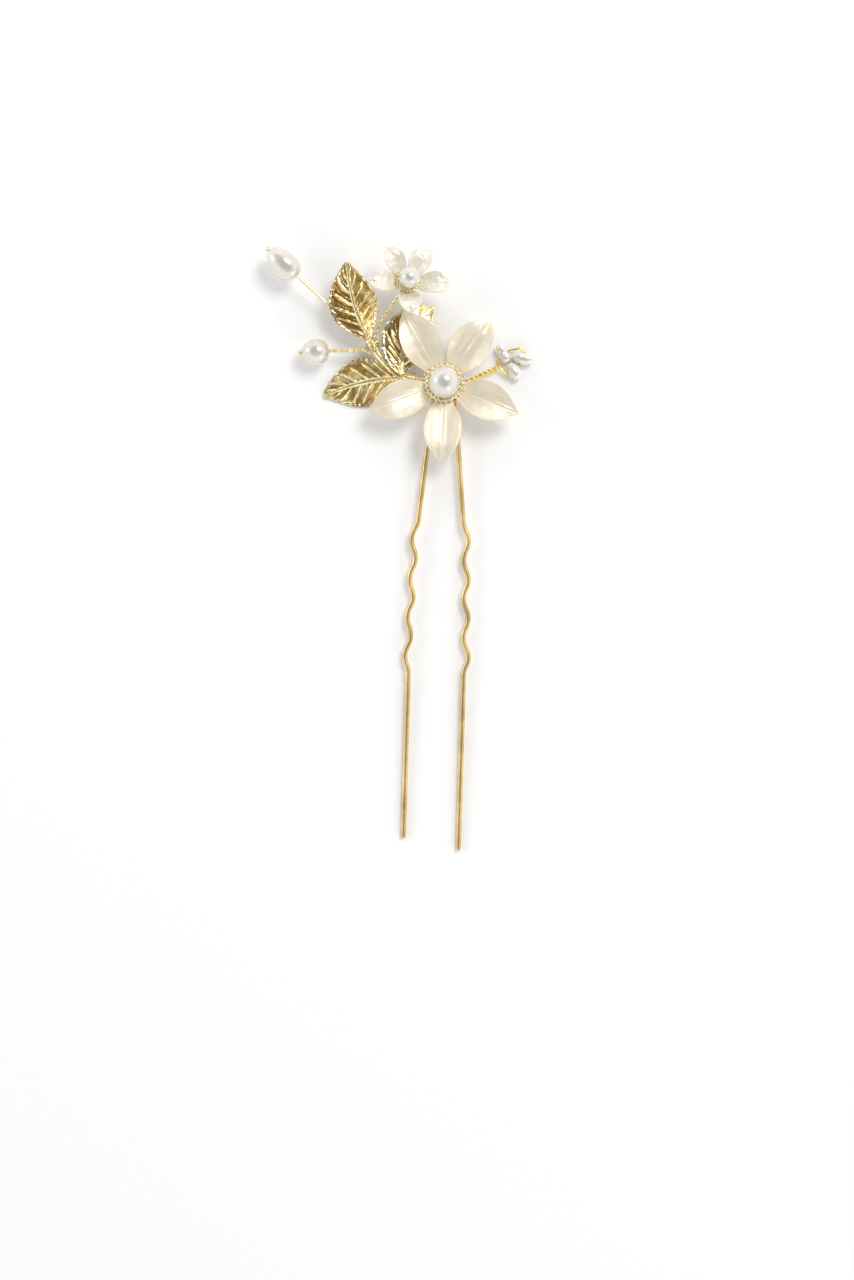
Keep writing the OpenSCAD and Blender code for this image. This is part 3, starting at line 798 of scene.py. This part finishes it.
class HAIRPIN_OT_stems(bpy.types.Operator):
    """Build the main stem's wires and the twisted stems"""

    bl_idname = "hairpin.stems"
    bl_label = "Stems"

    def execute(self, context):
        wire, strand, pitch = in_mm("stem_wire"), in_mm("strand"), in_mm("twist_pitch")
        gold = finish("gold_wire")
        left, right = stem_lines()
        gold_part("oval_pearl_stem_wire", [
            wire_piece("oval_stem_wire", softened([*left, on_spray(*OVAL_END)]), wire, gold),
            nub_piece("oval_stem_nub", "oval_pearl_spin", OVAL_SIZE[0], gold)], "oval_pearl_stem")

        turn, foot = on_spray(*SMALL_TURN), on_spray(*SMALL_FOOT)
        run = softened([right[-1], turn, foot + (0, 0, 0.3)])
        peg = filleted([foot - SMALL_AXIS * 0.1 + (-0.3, -0.5, 0), foot, SMALL_HUB + SMALL_AXIS * 2.9], 0.5)
        gold_part("small_flower_stem_wire", [
            wire_piece("small_main_wire", softened([*right, turn]), wire, gold),
            wire_piece("small_twist_wire", run, strand, gold, strand * 0.52, pitch, 2, 0.08, 10),
            wire_piece("small_peg_wire", peg, wire * 0.9, gold)], "small_flower_stem")

        centre, axis, _ = joint_line("round_pearl_spin")
        knee, base = on_spray(-15.5, 6.0), centre - axis * 2.4
        under = -(wire + strand) / 2 - 0.03
        start = [on_spray(x, y, under) for x, y in ((-13.95, 7), (-13.2, 5.45), (-14.5, 5.35))]
        gold_part("round_pearl_stem_wire", [
            wire_piece("round_lead_wire", softened([*start, knee, knee + axis * 0.5], 2), strand, gold),
            wire_piece("round_twist_wire", [knee - axis * 0.1, base], strand, gold, strand * 0.5, pitch, 2, 0.07, 10),
            wire_piece("round_thread", [base - axis * 0.4, centre + axis * 2.8], strand, gold),
            nub_piece("round_nub", "round_pearl_spin", ROUND_SIZE[0], gold)], "round_pearl_stem")
        return {"FINISHED"}


def nub_piece(name, spin, length, material):
    """The little ball of melted wire that holds a pearl on its pin."""
    centre, axis, turn = joint_line(spin)
    profile = [(0.42 * math.sin(t), 0.42 * math.cos(t)) for t in np.linspace(-1.5, 1.55, 15)]
    points, faces = lathed(profile, 18, hollow=False)
    points = points + 0.03 * waves(points, 3, 5.0)[:, None] * points
    return mesh_from(name, points @ turn.T + centre + axis * (length / 2 + 0.33), faces, material)


class HAIRPIN_OT_bindings(bpy.types.Operator):
    """Wind the binding wires round the bend and the main stem"""

    bl_idname = "hairpin.bindings"
    bl_label = "Bindings"

    def execute(self, context):
        wire = in_mm("binding_wire")
        gold_part("bend_wrap", [
            coil_piece(f"bend_wrap_{k}", [(x0, 1.6, 0.6), (x1, 1.6, 0.6)], wire, 1.44, wire * 1.08)
            for k, (x0, x1) in enumerate(((-1.6, -0.62), (0.3, 1.05)))], "bend_binding")
        a, b = on_spray(*MAIN_STEM[3], 0.15), on_spray(*MAIN_STEM[4], 0.15)
        d = unit(b - a)
        gold_part("junction_wrap", [
            coil_piece("junction_coil", [b - d * 1.5, b - d * 0.7, b], wire, 1.1, wire * 1.06),
            coil_piece("junction_knot", [b - d * 0.9, b - d * 0.6], wire * 0.9, 1.32, wire * 0.95)], "junction_binding")
        a, b = on_spray(*MAIN_STEM[2]), on_spray(*MAIN_STEM[1])
        d = unit(b - a)
        wrap = coil_piece("leaf_wrap", [a + d * 1.7, a + d * 2.5, a + d * 3.3], wire * 0.8, 1.12, wire * 0.86)
        settle(wrap, SPRAY, "gold_wire", "leaf_binding")
        frame["nodes"]["large_flower_stem"].data.materials.clear()
        frame["nodes"]["large_flower_stem"].data.materials.append(finish("gold_wire"))
        return {"FINISHED"}


# ---- flowers ----


def on_large_flower(points):
    return np.asarray(points) + LARGE_FLOWER


def petal_patch(angle, length, half_angle, style, seed):
    """One cupped petal as a fine grid, with its creased vein and its brushed folds."""
    rows, cols = 72, 41
    notch, rise, cup, reach, hub = style["notch"], style["rise"], style["cup"], style["reach"], style["hub"]
    # rows crowd towards the tip, where the outline turns fastest
    t = np.sin(np.linspace(0, 1, rows) * math.pi / 2)[:, None] ** 0.9
    v = np.linspace(-1, 1, cols)[None, :]
    r = style["root"] + (length - style["root"]) * t
    share = np.clip((r - notch) / (length - notch), 0, 1)
    spread = (1 - share ** (1 / style["b"])) ** (1 / style["a"])
    spread = spread * (1 - style["waist"] * np.exp(-(((r - notch) / 2.2) ** 2)))
    phi = v * np.maximum(np.radians(half_angle) * spread, 0.0015)
    x, y = r * np.cos(phi), r * np.sin(phi)
    climb = np.clip((r - hub) / (length - hub), 0, 1)
    z = rise * np.sin(np.minimum(1, climb * 1.25) * math.pi / 2) \
        - rise * 0.35 * (np.clip(climb - 0.6, 0, 1) / 0.4) ** 2
    open_out = np.minimum(1, climb * 3)
    z = z + cup * (y / reach) ** 2 * open_out
    z = z + style["crease"] * np.abs(y) / reach * open_out * (1 - 0.6 * climb)
    random = np.random.default_rng(seed)
    fade = np.minimum(1, climb * 4) * np.clip((1 - share) * 6, 0, 1)
    folds = np.zeros_like(y)
    for k in range(5):
        folds += np.sin(v * (6 + 4 * k) + random.uniform(0, 6.28) + share * random.uniform(-2, 2)) / (1.5 + k)
    z = z + folds * style["folds"] * fade
    vein = style["vein_width"]
    banks = 0.6 * np.exp(-(((np.abs(y) - 2.1 * vein) / vein) ** 2))
    z = z + fade * style["vein"] * (banks - np.exp(-((y / vein) ** 2)))
    flat = np.stack([x.ravel(), y.ravel(), np.full(y.size, seed * 3.7)], 1)
    z = z + style["dents"] * waves(flat, seed, style["dent_scale"]).reshape(y.shape) * fade
    z = z + random.uniform(-1, 1) * style["twist"] * v * climb * spread
    if "dimple" in style:
        z = z - style["dimple"] * np.exp(-((np.hypot(x - length * PINHOLE_AT, y) / 0.28) ** 2))
    turned = np.stack([x, y, z], -1).reshape(-1, 3) @ rotation("Z", angle).T
    along = r / length + 0 * v
    uv = np.stack([along, 0.5 + y / 12], -1)
    return turned.reshape(rows, cols, 3), {"along": along}, uv


def hub_piece(name, radius, thickness, material):
    """The flat middle that the petals grow from, under the collar."""
    profile = [(-thickness, 0.4), (-thickness, radius), (-0.012, radius), (-0.012, 0.4)]
    points, faces = lathed(profile, 64, hollow=True)
    piece = mesh_from(name, points[:, [1, 2, 0]], faces, material, smooth=False)
    face_out(piece)
    layer = piece.data.attributes.new("along", "FLOAT", "POINT")
    layer.data.foreach_set("value", np.full(len(piece.data.vertices), 0.2, np.float32))
    piece.data.uv_layers.new(name="UVMap")
    return piece


LARGE_FLOWER = (-0.2, 1.95, 2.35)
LARGE_PETALS = [(56, 15.45), (121, 15.75), (203, 15.15), (270, 15.3), (339, 15.3)]
SMALL_PETALS = [(61, 7.83), (125, 7.45), (187, 7.75), (274, 6.54), (357, 7.98)]
LARGE_STYLE = dict(root=1.2, notch=3.5, hub=4.1, rise=1.5, cup=0.75, reach=3.7, a=0.93, b=0.52, waist=0.1, crease=0.34,
                   widths=(1.02, 1.0, 0.97, 0.97, 0.98), folds=0.035, vein=0.09, vein_width=0.14, dents=0.04,
                   dent_scale=1.6, twist=0.22, hub_radius=3.5)
SMALL_STYLE = dict(root=0.8, notch=1.7, hub=2.3, rise=1.5, cup=0.5, reach=2.1, a=1.4, b=0.56, waist=0.0, crease=0.1,
                   half=31, widths=(1.0, 0.99, 0.99, 1.25, 1.02), folds=0.02, vein=0.04, vein_width=0.1, dents=0.07,
                   dent_scale=3.0, twist=0.25, hub_radius=1.75, dimple=0.16)
# where a pinhole lies along a petal, and its radius
PINHOLE_AT, PINHOLE_R = 0.86, 0.19
PETAL_LIFT, CUP_LIFT = 0.35, 0.38
# rings of granules inside and outside a collar's rim: share of its radius, share of the bead's size, height
GRANULE_RINGS = ((1.13, 0.5, 0.06), (0.84, 0.62, 0.42), (0.70, 0.55, 0.42), (0.57, 0.5, 0.42))


def flower(name, petals, style, finish_name, place, node):
    material, sheet = finish(finish_name), in_mm("sheet")
    pieces = [hub_piece(name + "_hub", style["hub_radius"], sheet, material)]
    for k, (angle, length) in enumerate(petals):
        patch = petal_patch(angle, length, style["half"] * style["widths"][k], style, 11 + k * 7)
        petal = sheet_piece(f"{name}_{k}", patch, sheet, material)
        if "dimple" in style:
            pierce(petal, angle, length * PINHOLE_AT, PINHOLE_R)
        pieces.append(petal)
    piece = moved(joined(name, pieces), lambda p: place(p + (0, 0, PETAL_LIFT)))
    settle(piece, SPRAY, "petal", node)


def collar_piece(name, rim, bead, beads, place, node):
    """A domed seat with rings of granules round the pearl."""
    material = finish("granulated_gold")
    profile = [(0.0, 0.45), (0.0, rim), (0.1, rim + 0.06), (0.24, rim), (0.34, rim * 0.82), (0.36, rim * 0.5),
               (0.3, 0.45)]
    points, faces = lathed(profile, 72, hollow=True)
    disc = mesh_from(name + "_disc", points[:, [1, 2, 0]], faces, material)
    face_out(disc)
    rows = [bead_ring(name + "_rim", rim, bead * 0.92, beads, material, 4, 0.07)]
    moved(rows[0], lambda p: p + (0, 0, bead + 0.02))
    for k, (share, size, z) in enumerate(GRANULE_RINGS):
        ring = bead_ring(name + f"_row{k}", rim * share, bead * size, int(beads * share * 1.45), material, 9 + k, 0.16)
        rows.append(moved(ring, lambda p, z=z: p + (0, 0, z)))
    piece = moved(joined(name, [disc, *rows]), lambda p: place(p + (0, 0, CUP_LIFT)))
    settle(piece, SPRAY, "gold_wire", node)


class HAIRPIN_OT_large_flower(bpy.types.Operator):
    """Build the large flower: petals, granulated collar and pearl"""

    bl_idname = "hairpin.large_flower"
    bl_label = "Large Flower"

    def execute(self, context):
        style = {**LARGE_STYLE, "half": math.degrees(sizes().petal_spread)}
        flower("large_petals", LARGE_PETALS, style, "petal_enamel", on_large_flower, "large_flower_petals")
        collar_piece("large_collar", 3.45, 0.44, sizes().collar_beads, on_large_flower, "large_flower_collar")
        bead_pearl("large_pearl", 6.0, 3.71, on_large_flower, "large_flower_pearl", 5)
        return {"FINISHED"}


class HAIRPIN_OT_small_flower(bpy.types.Operator):
    """Build the small flower: hammered petals, cup and pearl"""

    bl_idname = "hairpin.small_flower"
    bl_label = "Small Flower"

    def execute(self, context):
        flower("small_petals", SMALL_PETALS, SMALL_STYLE, "hammered_enamel", on_small_flower, "small_flower_petals")
        collar_piece("small_cup", 2.05, 0.3, 19, on_small_flower, "small_flower_cup")
        bead_pearl("small_pearl", 4.0, 2.66, on_small_flower, "small_flower_pearl", 8)
        return {"FINISHED"}


def cut_away(piece, points, faces):
    """Cuts a closed shape out of a piece."""
    cutter = mesh_from("cutter", points, faces, None, smooth=False)
    face_out(cutter)
    before = len(piece.data.polygons)
    cut = piece.modifiers.new("cut", "BOOLEAN")
    cut.operation, cut.object, cut.solver = "DIFFERENCE", cutter, "EXACT"
    graph = bpy.context.evaluated_depsgraph_get()
    piece.data = bpy.data.meshes.new_from_object(piece.evaluated_get(graph))
    piece.modifiers.clear()
    bpy.data.objects.remove(cutter)
    if len(piece.data.polygons) < before * 0.8:
        raise RuntimeError(f"the cut removed too much of {piece.name}")


def prism(a, b, u, w, radius, sides):
    """A closed prism from a to b with a round outline spanned by u and w."""
    angles = np.linspace(0, 2 * math.pi, sides, endpoint=False)
    ring = [radius * (math.cos(t) * u + math.sin(t) * w) for t in angles]
    points = [np.asarray(end, float) + r for end in (a, b) for r in ring]
    faces = [tuple(range(sides - 1, -1, -1)), tuple(range(sides, 2 * sides))]
    faces += [(k, (k + 1) % sides, sides + (k + 1) % sides, sides + k) for k in range(sides)]
    return points, faces


def pierce(petal, angle, r, radius):
    """Cuts a round pinhole through a petal."""
    a = math.radians(angle)
    x, y = r * math.cos(a), r * math.sin(a)
    u, w = np.array([1.0, 0.13, 0]), np.array([-0.13, 1.0, 0])
    cut_away(petal, *prism((x, y, -2.0), (x, y, 4.0), u, w, radius, 14))


# ---- pearls ----


def bead_pearl(name, diameter, height, place, node, seed):
    """A round bead pearl with a faint unevenness, on its flower."""
    bm = bmesh.new()
    bmesh.ops.create_icosphere(bm, subdivisions=5, radius=MM)
    mesh = bpy.data.meshes.new(name)
    bm.to_mesh(mesh)
    bm.free()
    mesh.shade_smooth()
    piece = link_object(name, mesh, finish("bead_pearl"))
    moved(piece, lambda p: p * (diameter / 2) * (1 + 0.004 * waves(p, seed, 3.0))[:, None])
    settle(moved(piece, lambda p: place(p + (0, 0, height))), SPRAY, "pearl", node)


def threaded_pearl(name, node, size, full, point, bore, seed):
    """A pearl on its stem with an open bore, uneven as a grown pearl is."""
    half, radius = size[0] / 2, size[1] / 2
    profile = [(x, r * (1 - point * x / half)) for x, r in pearl_profile(half, radius, full, 0.0, 64)]
    profile = [(x, r) for x, r in profile if r > bore * 1.25]
    first, last = profile[0][0], profile[-1][0]
    mouth = bore * 1.12
    profile = [(first + 0.05, bore), (first - 0.02, mouth), *profile, (last + 0.02, mouth), (last - 0.05, bore)]
    points, faces = lathed(profile, 64, hollow=True)
    away = np.clip(np.hypot(points[:, 1], points[:, 2]) / radius, 0, 1)[:, None]
    points = points * (1 + 0.035 * waves(points, seed, 2.25 / radius, 2)[:, None] * away)
    piece = mesh_from(name, points, faces, finish("river_pearl"))
    face_out(piece)
    centre, _, turn = joint_line(node + "_spin")
    settle(moved(piece, lambda p: p @ turn.T + centre), node, "pearl", node)


# middle, heading, waist, half length, radius
RICE = {"sprig_upper_pearl": ((10.88, 8.27), 120, 0.24, 2.0, 1.16),
        "sprig_right_pearl": ((14.75, 7.45), -10, 0.05, 2.0, 1.2),
        "sprig_lower_pearl": ((13.1, 5.0), -50, 0.0, 1.74, 1.26)}
RICE_BORE_R = 0.235
SPRIG_Z = -0.95


class HAIRPIN_OT_pearls(bpy.types.Operator):
    """Build the oval pearl, the round pearl and the sprig's three rice pearls"""

    bl_idname = "hairpin.pearls"
    bl_label = "Pearls"

    def execute(self, context):
        threaded_pearl("oval_river_pearl", "oval_pearl", OVAL_SIZE, 0.84, 0.08, 0.33, 21)
        threaded_pearl("round_river_pearl", "round_pearl", ROUND_SIZE, 0.88, 0.09, 0.23, 34)
        for k, (node, shape) in enumerate(RICE.items()):
            rice_pearl(node, *shape, 40 + k)
        return {"FINISHED"}


def rice_pearl(node, middle, heading, waist, half, radius, seed):
    """A small grown pearl, bored crossways where the loop wire passes."""
    profile = [(x, r) for x, r in pearl_profile(half, radius, 0.78, waist, 48) if r > 0.02]
    points, faces = lathed(profile, 48, hollow=False)
    points = points * (1 + 0.03 * waves(points, seed, 2.2, 2)[:, None])
    points = placed(points, ((*middle, SPRIG_Z), heading, 0, 0))
    piece = mesh_from(node + "_rice", points, faces, finish("rice_pearl"))
    face_out(piece)
    mid, axis, _ = joint_line(node + "_swivel")
    u, w = unit(np.cross(axis, (0, 0, 1))), np.array([0, 0, 1.0])
    cut_away(piece, *prism(mid - axis * 2.4, mid + axis * 2.4, u, w, RICE_BORE_R, 20))
    piece.data.set_sharp_from_angle(angle=math.radians(50))
    settle(piece, node, "pearl", node)


# ---- side sprig ----

SPRIG_START = (-0.3, 0.92, 1.08), (1.0, 0.92, 1.08)
SPRIG_LOOP = [(10.1, 5.7), (10.15, 7.35), (12.2, 8.95), (14, 9.35), (15.2, 8.65), (14.1, 6.15), (11.9, 4.1),
              (10.1, 5.7)]


class HAIRPIN_OT_sprig(bpy.types.Operator):
    """Twist the side sprig's wire and close its loop through the rice pearls"""

    bl_idname = "hairpin.sprig"
    bl_label = "Side Sprig"

    def execute(self, context):
        strand, gold = in_mm("strand"), finish("sprig_gold")
        loop = [(x, y, SPRIG_Z) for x, y in SPRIG_LOOP]
        gold_part("sprig_wire_loop", [
            wire_piece("sprig_twist", softened([*SPRIG_START, loop[0]], 2, 0.12), strand, gold, strand * 0.52,
                       in_mm("twist_pitch") * 0.85, 2, 0.08, 12),
            wire_piece("sprig_loop", filleted(loop, 0.42, 6), strand, gold, step=0.06, sides=14)], "sprig_wire")
        return {"FINISHED"}


# ---- leaves ----

LEAF_LENGTH, LEAF_WIDTH = 15.0, 9.4
# form: bend and fold in degrees, curl, depth of the embossing, and dip of the tip
# over: 1 where the leaf's wire rides on the stem, -1 where it runs under it
LEAVES = {
    "upper_leaf": dict(place=((-14.7, 10.1, 2.45), 121, 9, 6), form=(-26, 14, 0.6, 1.0, 0.0),
                       reach=2.5, over=1, ends=((-14.1, 7.2), (-13.4, 5.9))),
    "lower_leaf": dict(place=((-8.8, 2.9, 0.41), 183, -5.2, -4), form=(24, 14, -0.65, 1.0, 0.0),
                       reach=2.5, over=-1, ends=((-7.6, 0.64), (-5.2, 0.15))),
    "rear_leaf": dict(place=((-8.3, 3.4, 1.98), 96, -1, 0), form=(-60, -2, 0.3, 0.6, 1.7),
                      reach=2.0, over=1, ends=((-7.8, 1.5), (-5.2, 0.97))),
}
LEAF_WIRE = 0.44


def leaf_patch(bend, fold, curl, relief_depth, dip, seed):
    """An embossed blade: a double midrib, spindle-shaped side veins, tilted panels and a crinkled, toothed rim."""
    rows, cols = 210, 95
    u = np.linspace(0.004, 0.996, rows)[:, None]
    v = np.linspace(-1, 1, cols)[None, :]
    side = np.abs(v)
    random = np.random.default_rng(seed)
    half = LEAF_WIDTH / 2 * np.sin(math.pi * u ** 0.9) ** 0.95 + 0.12
    teeth = (u * sizes().leaf_teeth + 0.2 * np.sin(u * 17 + seed) + 0.5 * (v > 0)) % 1.0
    w = half * (1 - 0.05 * (1 - teeth) ** 1.5 * np.sin(math.pi * np.clip(u, 0.03, 0.97)) ** 0.3)
    veins = sizes().leaf_veins + 0.6
    phase = (u - 0.27 * side ** 1.15 + 0.015) * veins + 0.45 * (v > 0) + 0.08 * np.sin(9 * u + seed)
    index = np.clip(np.floor(phase).astype(int) + 3, 0, 11) + 12 * (v > 0)
    vigour = random.uniform(0.65, 1.15, 24)[index]
    stop = random.uniform(0.7, 0.9, 24)[index]
    near = (phase % 1.0) - 0.5
    taper = np.sin(math.pi * np.clip((side - 0.07) / (stop - 0.07), 0, 1)) ** 0.75
    ends = np.clip(u * 8, 0, 1) * np.clip((1 - u) * 8, 0, 1)
    ridge = np.exp(-((near / (0.04 + 0.10 * taper)) ** 2)) * taper * vigour
    gutter = np.exp(-(((near + 0.17) / 0.08) ** 2)) * taper
    panel = (near + 0.5) * np.clip(side / 0.2, 0, 1) * np.clip((0.9 - side) / 0.1, 0, 1)
    rib_width = 0.40 * (1 - 0.55 * u)
    rib = np.exp(-((v * w / rib_width) ** 2))
    groove = np.exp(-((v * w / (rib_width * 0.28)) ** 2)) * (1 - u)
    rim = np.clip((side - 0.86) / 0.06, 0, 1)
    flat = np.stack([(u * LEAF_LENGTH + 0 * v).ravel(), (v * w).ravel(), np.zeros(rows * cols)], 1)
    crinkle = waves(flat, seed + 2, 7.5, 2).reshape(rows, cols)
    soft = waves(flat, seed, 1.5, 3).reshape(rows, cols)
    height = ends * (0.46 * ridge - 0.08 * gutter + 0.20 * panel * vigour + 0.07 * rim * crinkle + 0.10 * rim)
    height = height + 0.40 * rib * (1 - 0.65 * u) - 0.2 * groove
    height = height + ends * 0.16 * side ** 2 * np.sin(u * 9 + seed + 1.2 * v) + 0.07 * soft
    # mask of painted light for the leaf's colour: high on the veins, midrib and rim for painted highlight, low in the
    # gutters and panels for painted shade
    relief = np.clip(0.2 + 1.2 * ridge + 1.2 * rib + 0.5 * rim + 0.35 * soft - 0.3 * gutter, 0, 1)
    a = math.radians(bend) * u
    r = LEAF_LENGTH / math.radians(bend)
    f = math.radians(fold)
    across = v * w * math.cos(f)
    x = r * np.sin(a) - np.sin(a) * across
    y = r * (1 - np.cos(a)) + np.cos(a) * across
    z = -side * w * math.sin(f) + curl * u ** 2 + height * relief_depth + in_mm("sheet") / 2
    z = z - dip * np.clip((u - 0.55) / 0.45, 0, 1) ** 1.6
    uv = np.stack([u + 0 * v, 0.5 + 0.5 * v + 0 * u], -1)
    return np.stack([x, y, z], -1), {"relief": relief}, uv


class HAIRPIN_OT_leaves(bpy.types.Operator):
    """Emboss the three leaves and lay their wires on the main stem"""

    bl_idname = "hairpin.leaves"
    bl_label = "Leaves"

    def execute(self, context):
        sheet, gold = in_mm("sheet"), finish("gold_wire")
        ride_height = (in_mm("stem_wire") + LEAF_WIRE) / 2 + 0.07
        for k, (name, leaf) in enumerate(LEAVES.items()):
            place = leaf["place"]
            piece = sheet_piece(name + "_blade", leaf_patch(*leaf["form"], 3 + 4 * k), sheet, finish("embossed_gold"))
            settle(moved(piece, lambda p, place=place: placed(p, place)), SPRAY, "leaf", name)
            drop = -sheet / 2 - 0.32
            line = [*placed([(leaf["reach"], 0, drop), (-0.25, 0, drop)], place),
                    *(on_spray(*end, leaf["over"] * ride_height) for end in leaf["ends"])]
            wire = wire_piece(name + "_wire", softened(line), LEAF_WIRE, gold, sides=14)
            settle(wire, SPRAY, "gold_wire", name + "_stem")
        return {"FINISHED"}


# ---- stage ----


TABLE_HALF, TABLE_GAP = 900, 0.02
CAMERA_LENS, CAMERA_AT, CAMERA_ROLL = 85.0, (-0.0019, -0.04665, 0.574), 1.748
# name, watts, size in metres, place, aim
LIGHTS = (("key_light", 2.7, 0.34, (0.26, 0.33, 0.68), (0, -0.03, 0)),
          ("side_light", 0.5, 0.2, (-0.62, 0.1, 0.34), (0, -0.02, 0)),
          ("low_light", 0.35, 0.14, (0.35, -0.5, 0.3), (0, -0.02, 0)))
# height of the direction, brightness: white walls, a grey ceiling
STUDIO_LEVELS = ((0.0, 1.0), (0.30, 1.05), (0.62, 0.95), (0.80, 0.40), (1.0, 0.20))
STUDIO_STRENGTH = 1.04


class HAIRPIN_OT_stage(bpy.types.Operator):
    """Set the white table, the soft lights and the camera above the pin"""

    bl_idname = "hairpin.stage"
    bl_label = "Stage"

    def execute(self, context):
        scene = context.scene
        z, half = CAD_BOX[0].z / MM - TABLE_GAP, TABLE_HALF
        corners = [(-half, -half, z), (half, -half, z), (half, half, z), (-half, half, z)]
        table = mesh_from("table", corners, [(0, 1, 2, 3)], finish("table_white"))
        scene.view_settings.view_transform = "Standard"
        scene.view_settings.look = "None"
        self.camera(scene)
        for lamp in LIGHTS:
            self.light(*lamp)
        self.world(scene)
        return {"FINISHED"}

    def camera(self, scene):
        data = bpy.data.cameras.new("camera")
        data.lens, data.sensor_width = CAMERA_LENS, 36.0
        camera = bpy.data.objects.new("camera", data)
        scene.collection.objects.link(camera)
        camera.location = CAMERA_AT
        camera.rotation_euler = (0, 0, math.radians(CAMERA_ROLL))
        data.clip_start, data.clip_end = 0.01, 10
        scene.camera = camera

    def light(self, name, watts, size, place, aim):
        data = bpy.data.lights.new(name, "AREA")
        data.shape, data.size, data.energy = "DISK", size, watts
        lamp = bpy.data.objects.new(name, data)
        bpy.context.scene.collection.objects.link(lamp)
        lamp.location = place
        lamp.rotation_euler = (Vector(aim) - Vector(place)).to_track_quat("-Z", "Y").to_euler()

    def world(self, scene):
        world = bpy.data.worlds.new("studio")
        world.use_nodes = True
        scene.world = world
        tree = world.node_tree
        background = tree.nodes["Background"]
        where = tree.nodes.new("ShaderNodeTexCoord")
        split = tree.nodes.new("ShaderNodeSeparateXYZ")
        ramp = tree.nodes.new("ShaderNodeValToRGB")
        for position, _ in STUDIO_LEVELS[1:-1]:
            ramp.color_ramp.elements.new(position)
        for element, (position, level) in zip(ramp.color_ramp.elements, STUDIO_LEVELS, strict=True):
            element.position, element.color = position, (level, level, level, 1)
        tree.links.new(where.outputs["Generated"], split.inputs[0])
        tree.links.new(split.outputs["Z"], ramp.inputs[0])
        tree.links.new(ramp.outputs[0], background.inputs["Color"])
        background.inputs["Strength"].default_value = STUDIO_STRENGTH


# ---- panel and registration ----

OPERATORS = (HAIRPIN_OT_legs, HAIRPIN_OT_stems, HAIRPIN_OT_bindings, HAIRPIN_OT_large_flower,
             HAIRPIN_OT_small_flower, HAIRPIN_OT_pearls, HAIRPIN_OT_sprig, HAIRPIN_OT_leaves, HAIRPIN_OT_stage)


class HAIRPIN_PT_panel(bpy.types.Panel):
    bl_label = "Floral Hair Pin"
    bl_space_type = "VIEW_3D"
    bl_region_type = "UI"
    bl_category = "Hair Pin"

    def draw(self, context):
        for group in (context.scene.hair_pin_sizes, context.scene.hair_pin_colours):
            box = self.layout.box()
            for key in group.bl_rna.properties.keys():
                if key not in {"rna_type", "name"}:
                    box.prop(group, key)
        for operator in OPERATORS:
            self.layout.operator(operator.bl_idname)


CLASSES = (HairPinSizes, HairPinColours, *OPERATORS, HAIRPIN_PT_panel)


def register():
    for cls in CLASSES:
        bpy.utils.register_class(cls)
    bpy.types.Scene.hair_pin_sizes = bpy.props.PointerProperty(type=HairPinSizes)
    bpy.types.Scene.hair_pin_colours = bpy.props.PointerProperty(type=HairPinColours)


def unregister():
    del bpy.types.Scene.hair_pin_sizes
    del bpy.types.Scene.hair_pin_colours
    for cls in reversed(CLASSES):
        bpy.utils.unregister_class(cls)


def main():
    register()
    for operator in OPERATORS:
        group, action = operator.bl_idname.split(".")
        getattr(getattr(bpy.ops, group), action)()


if __name__ == "__main__":
    main()
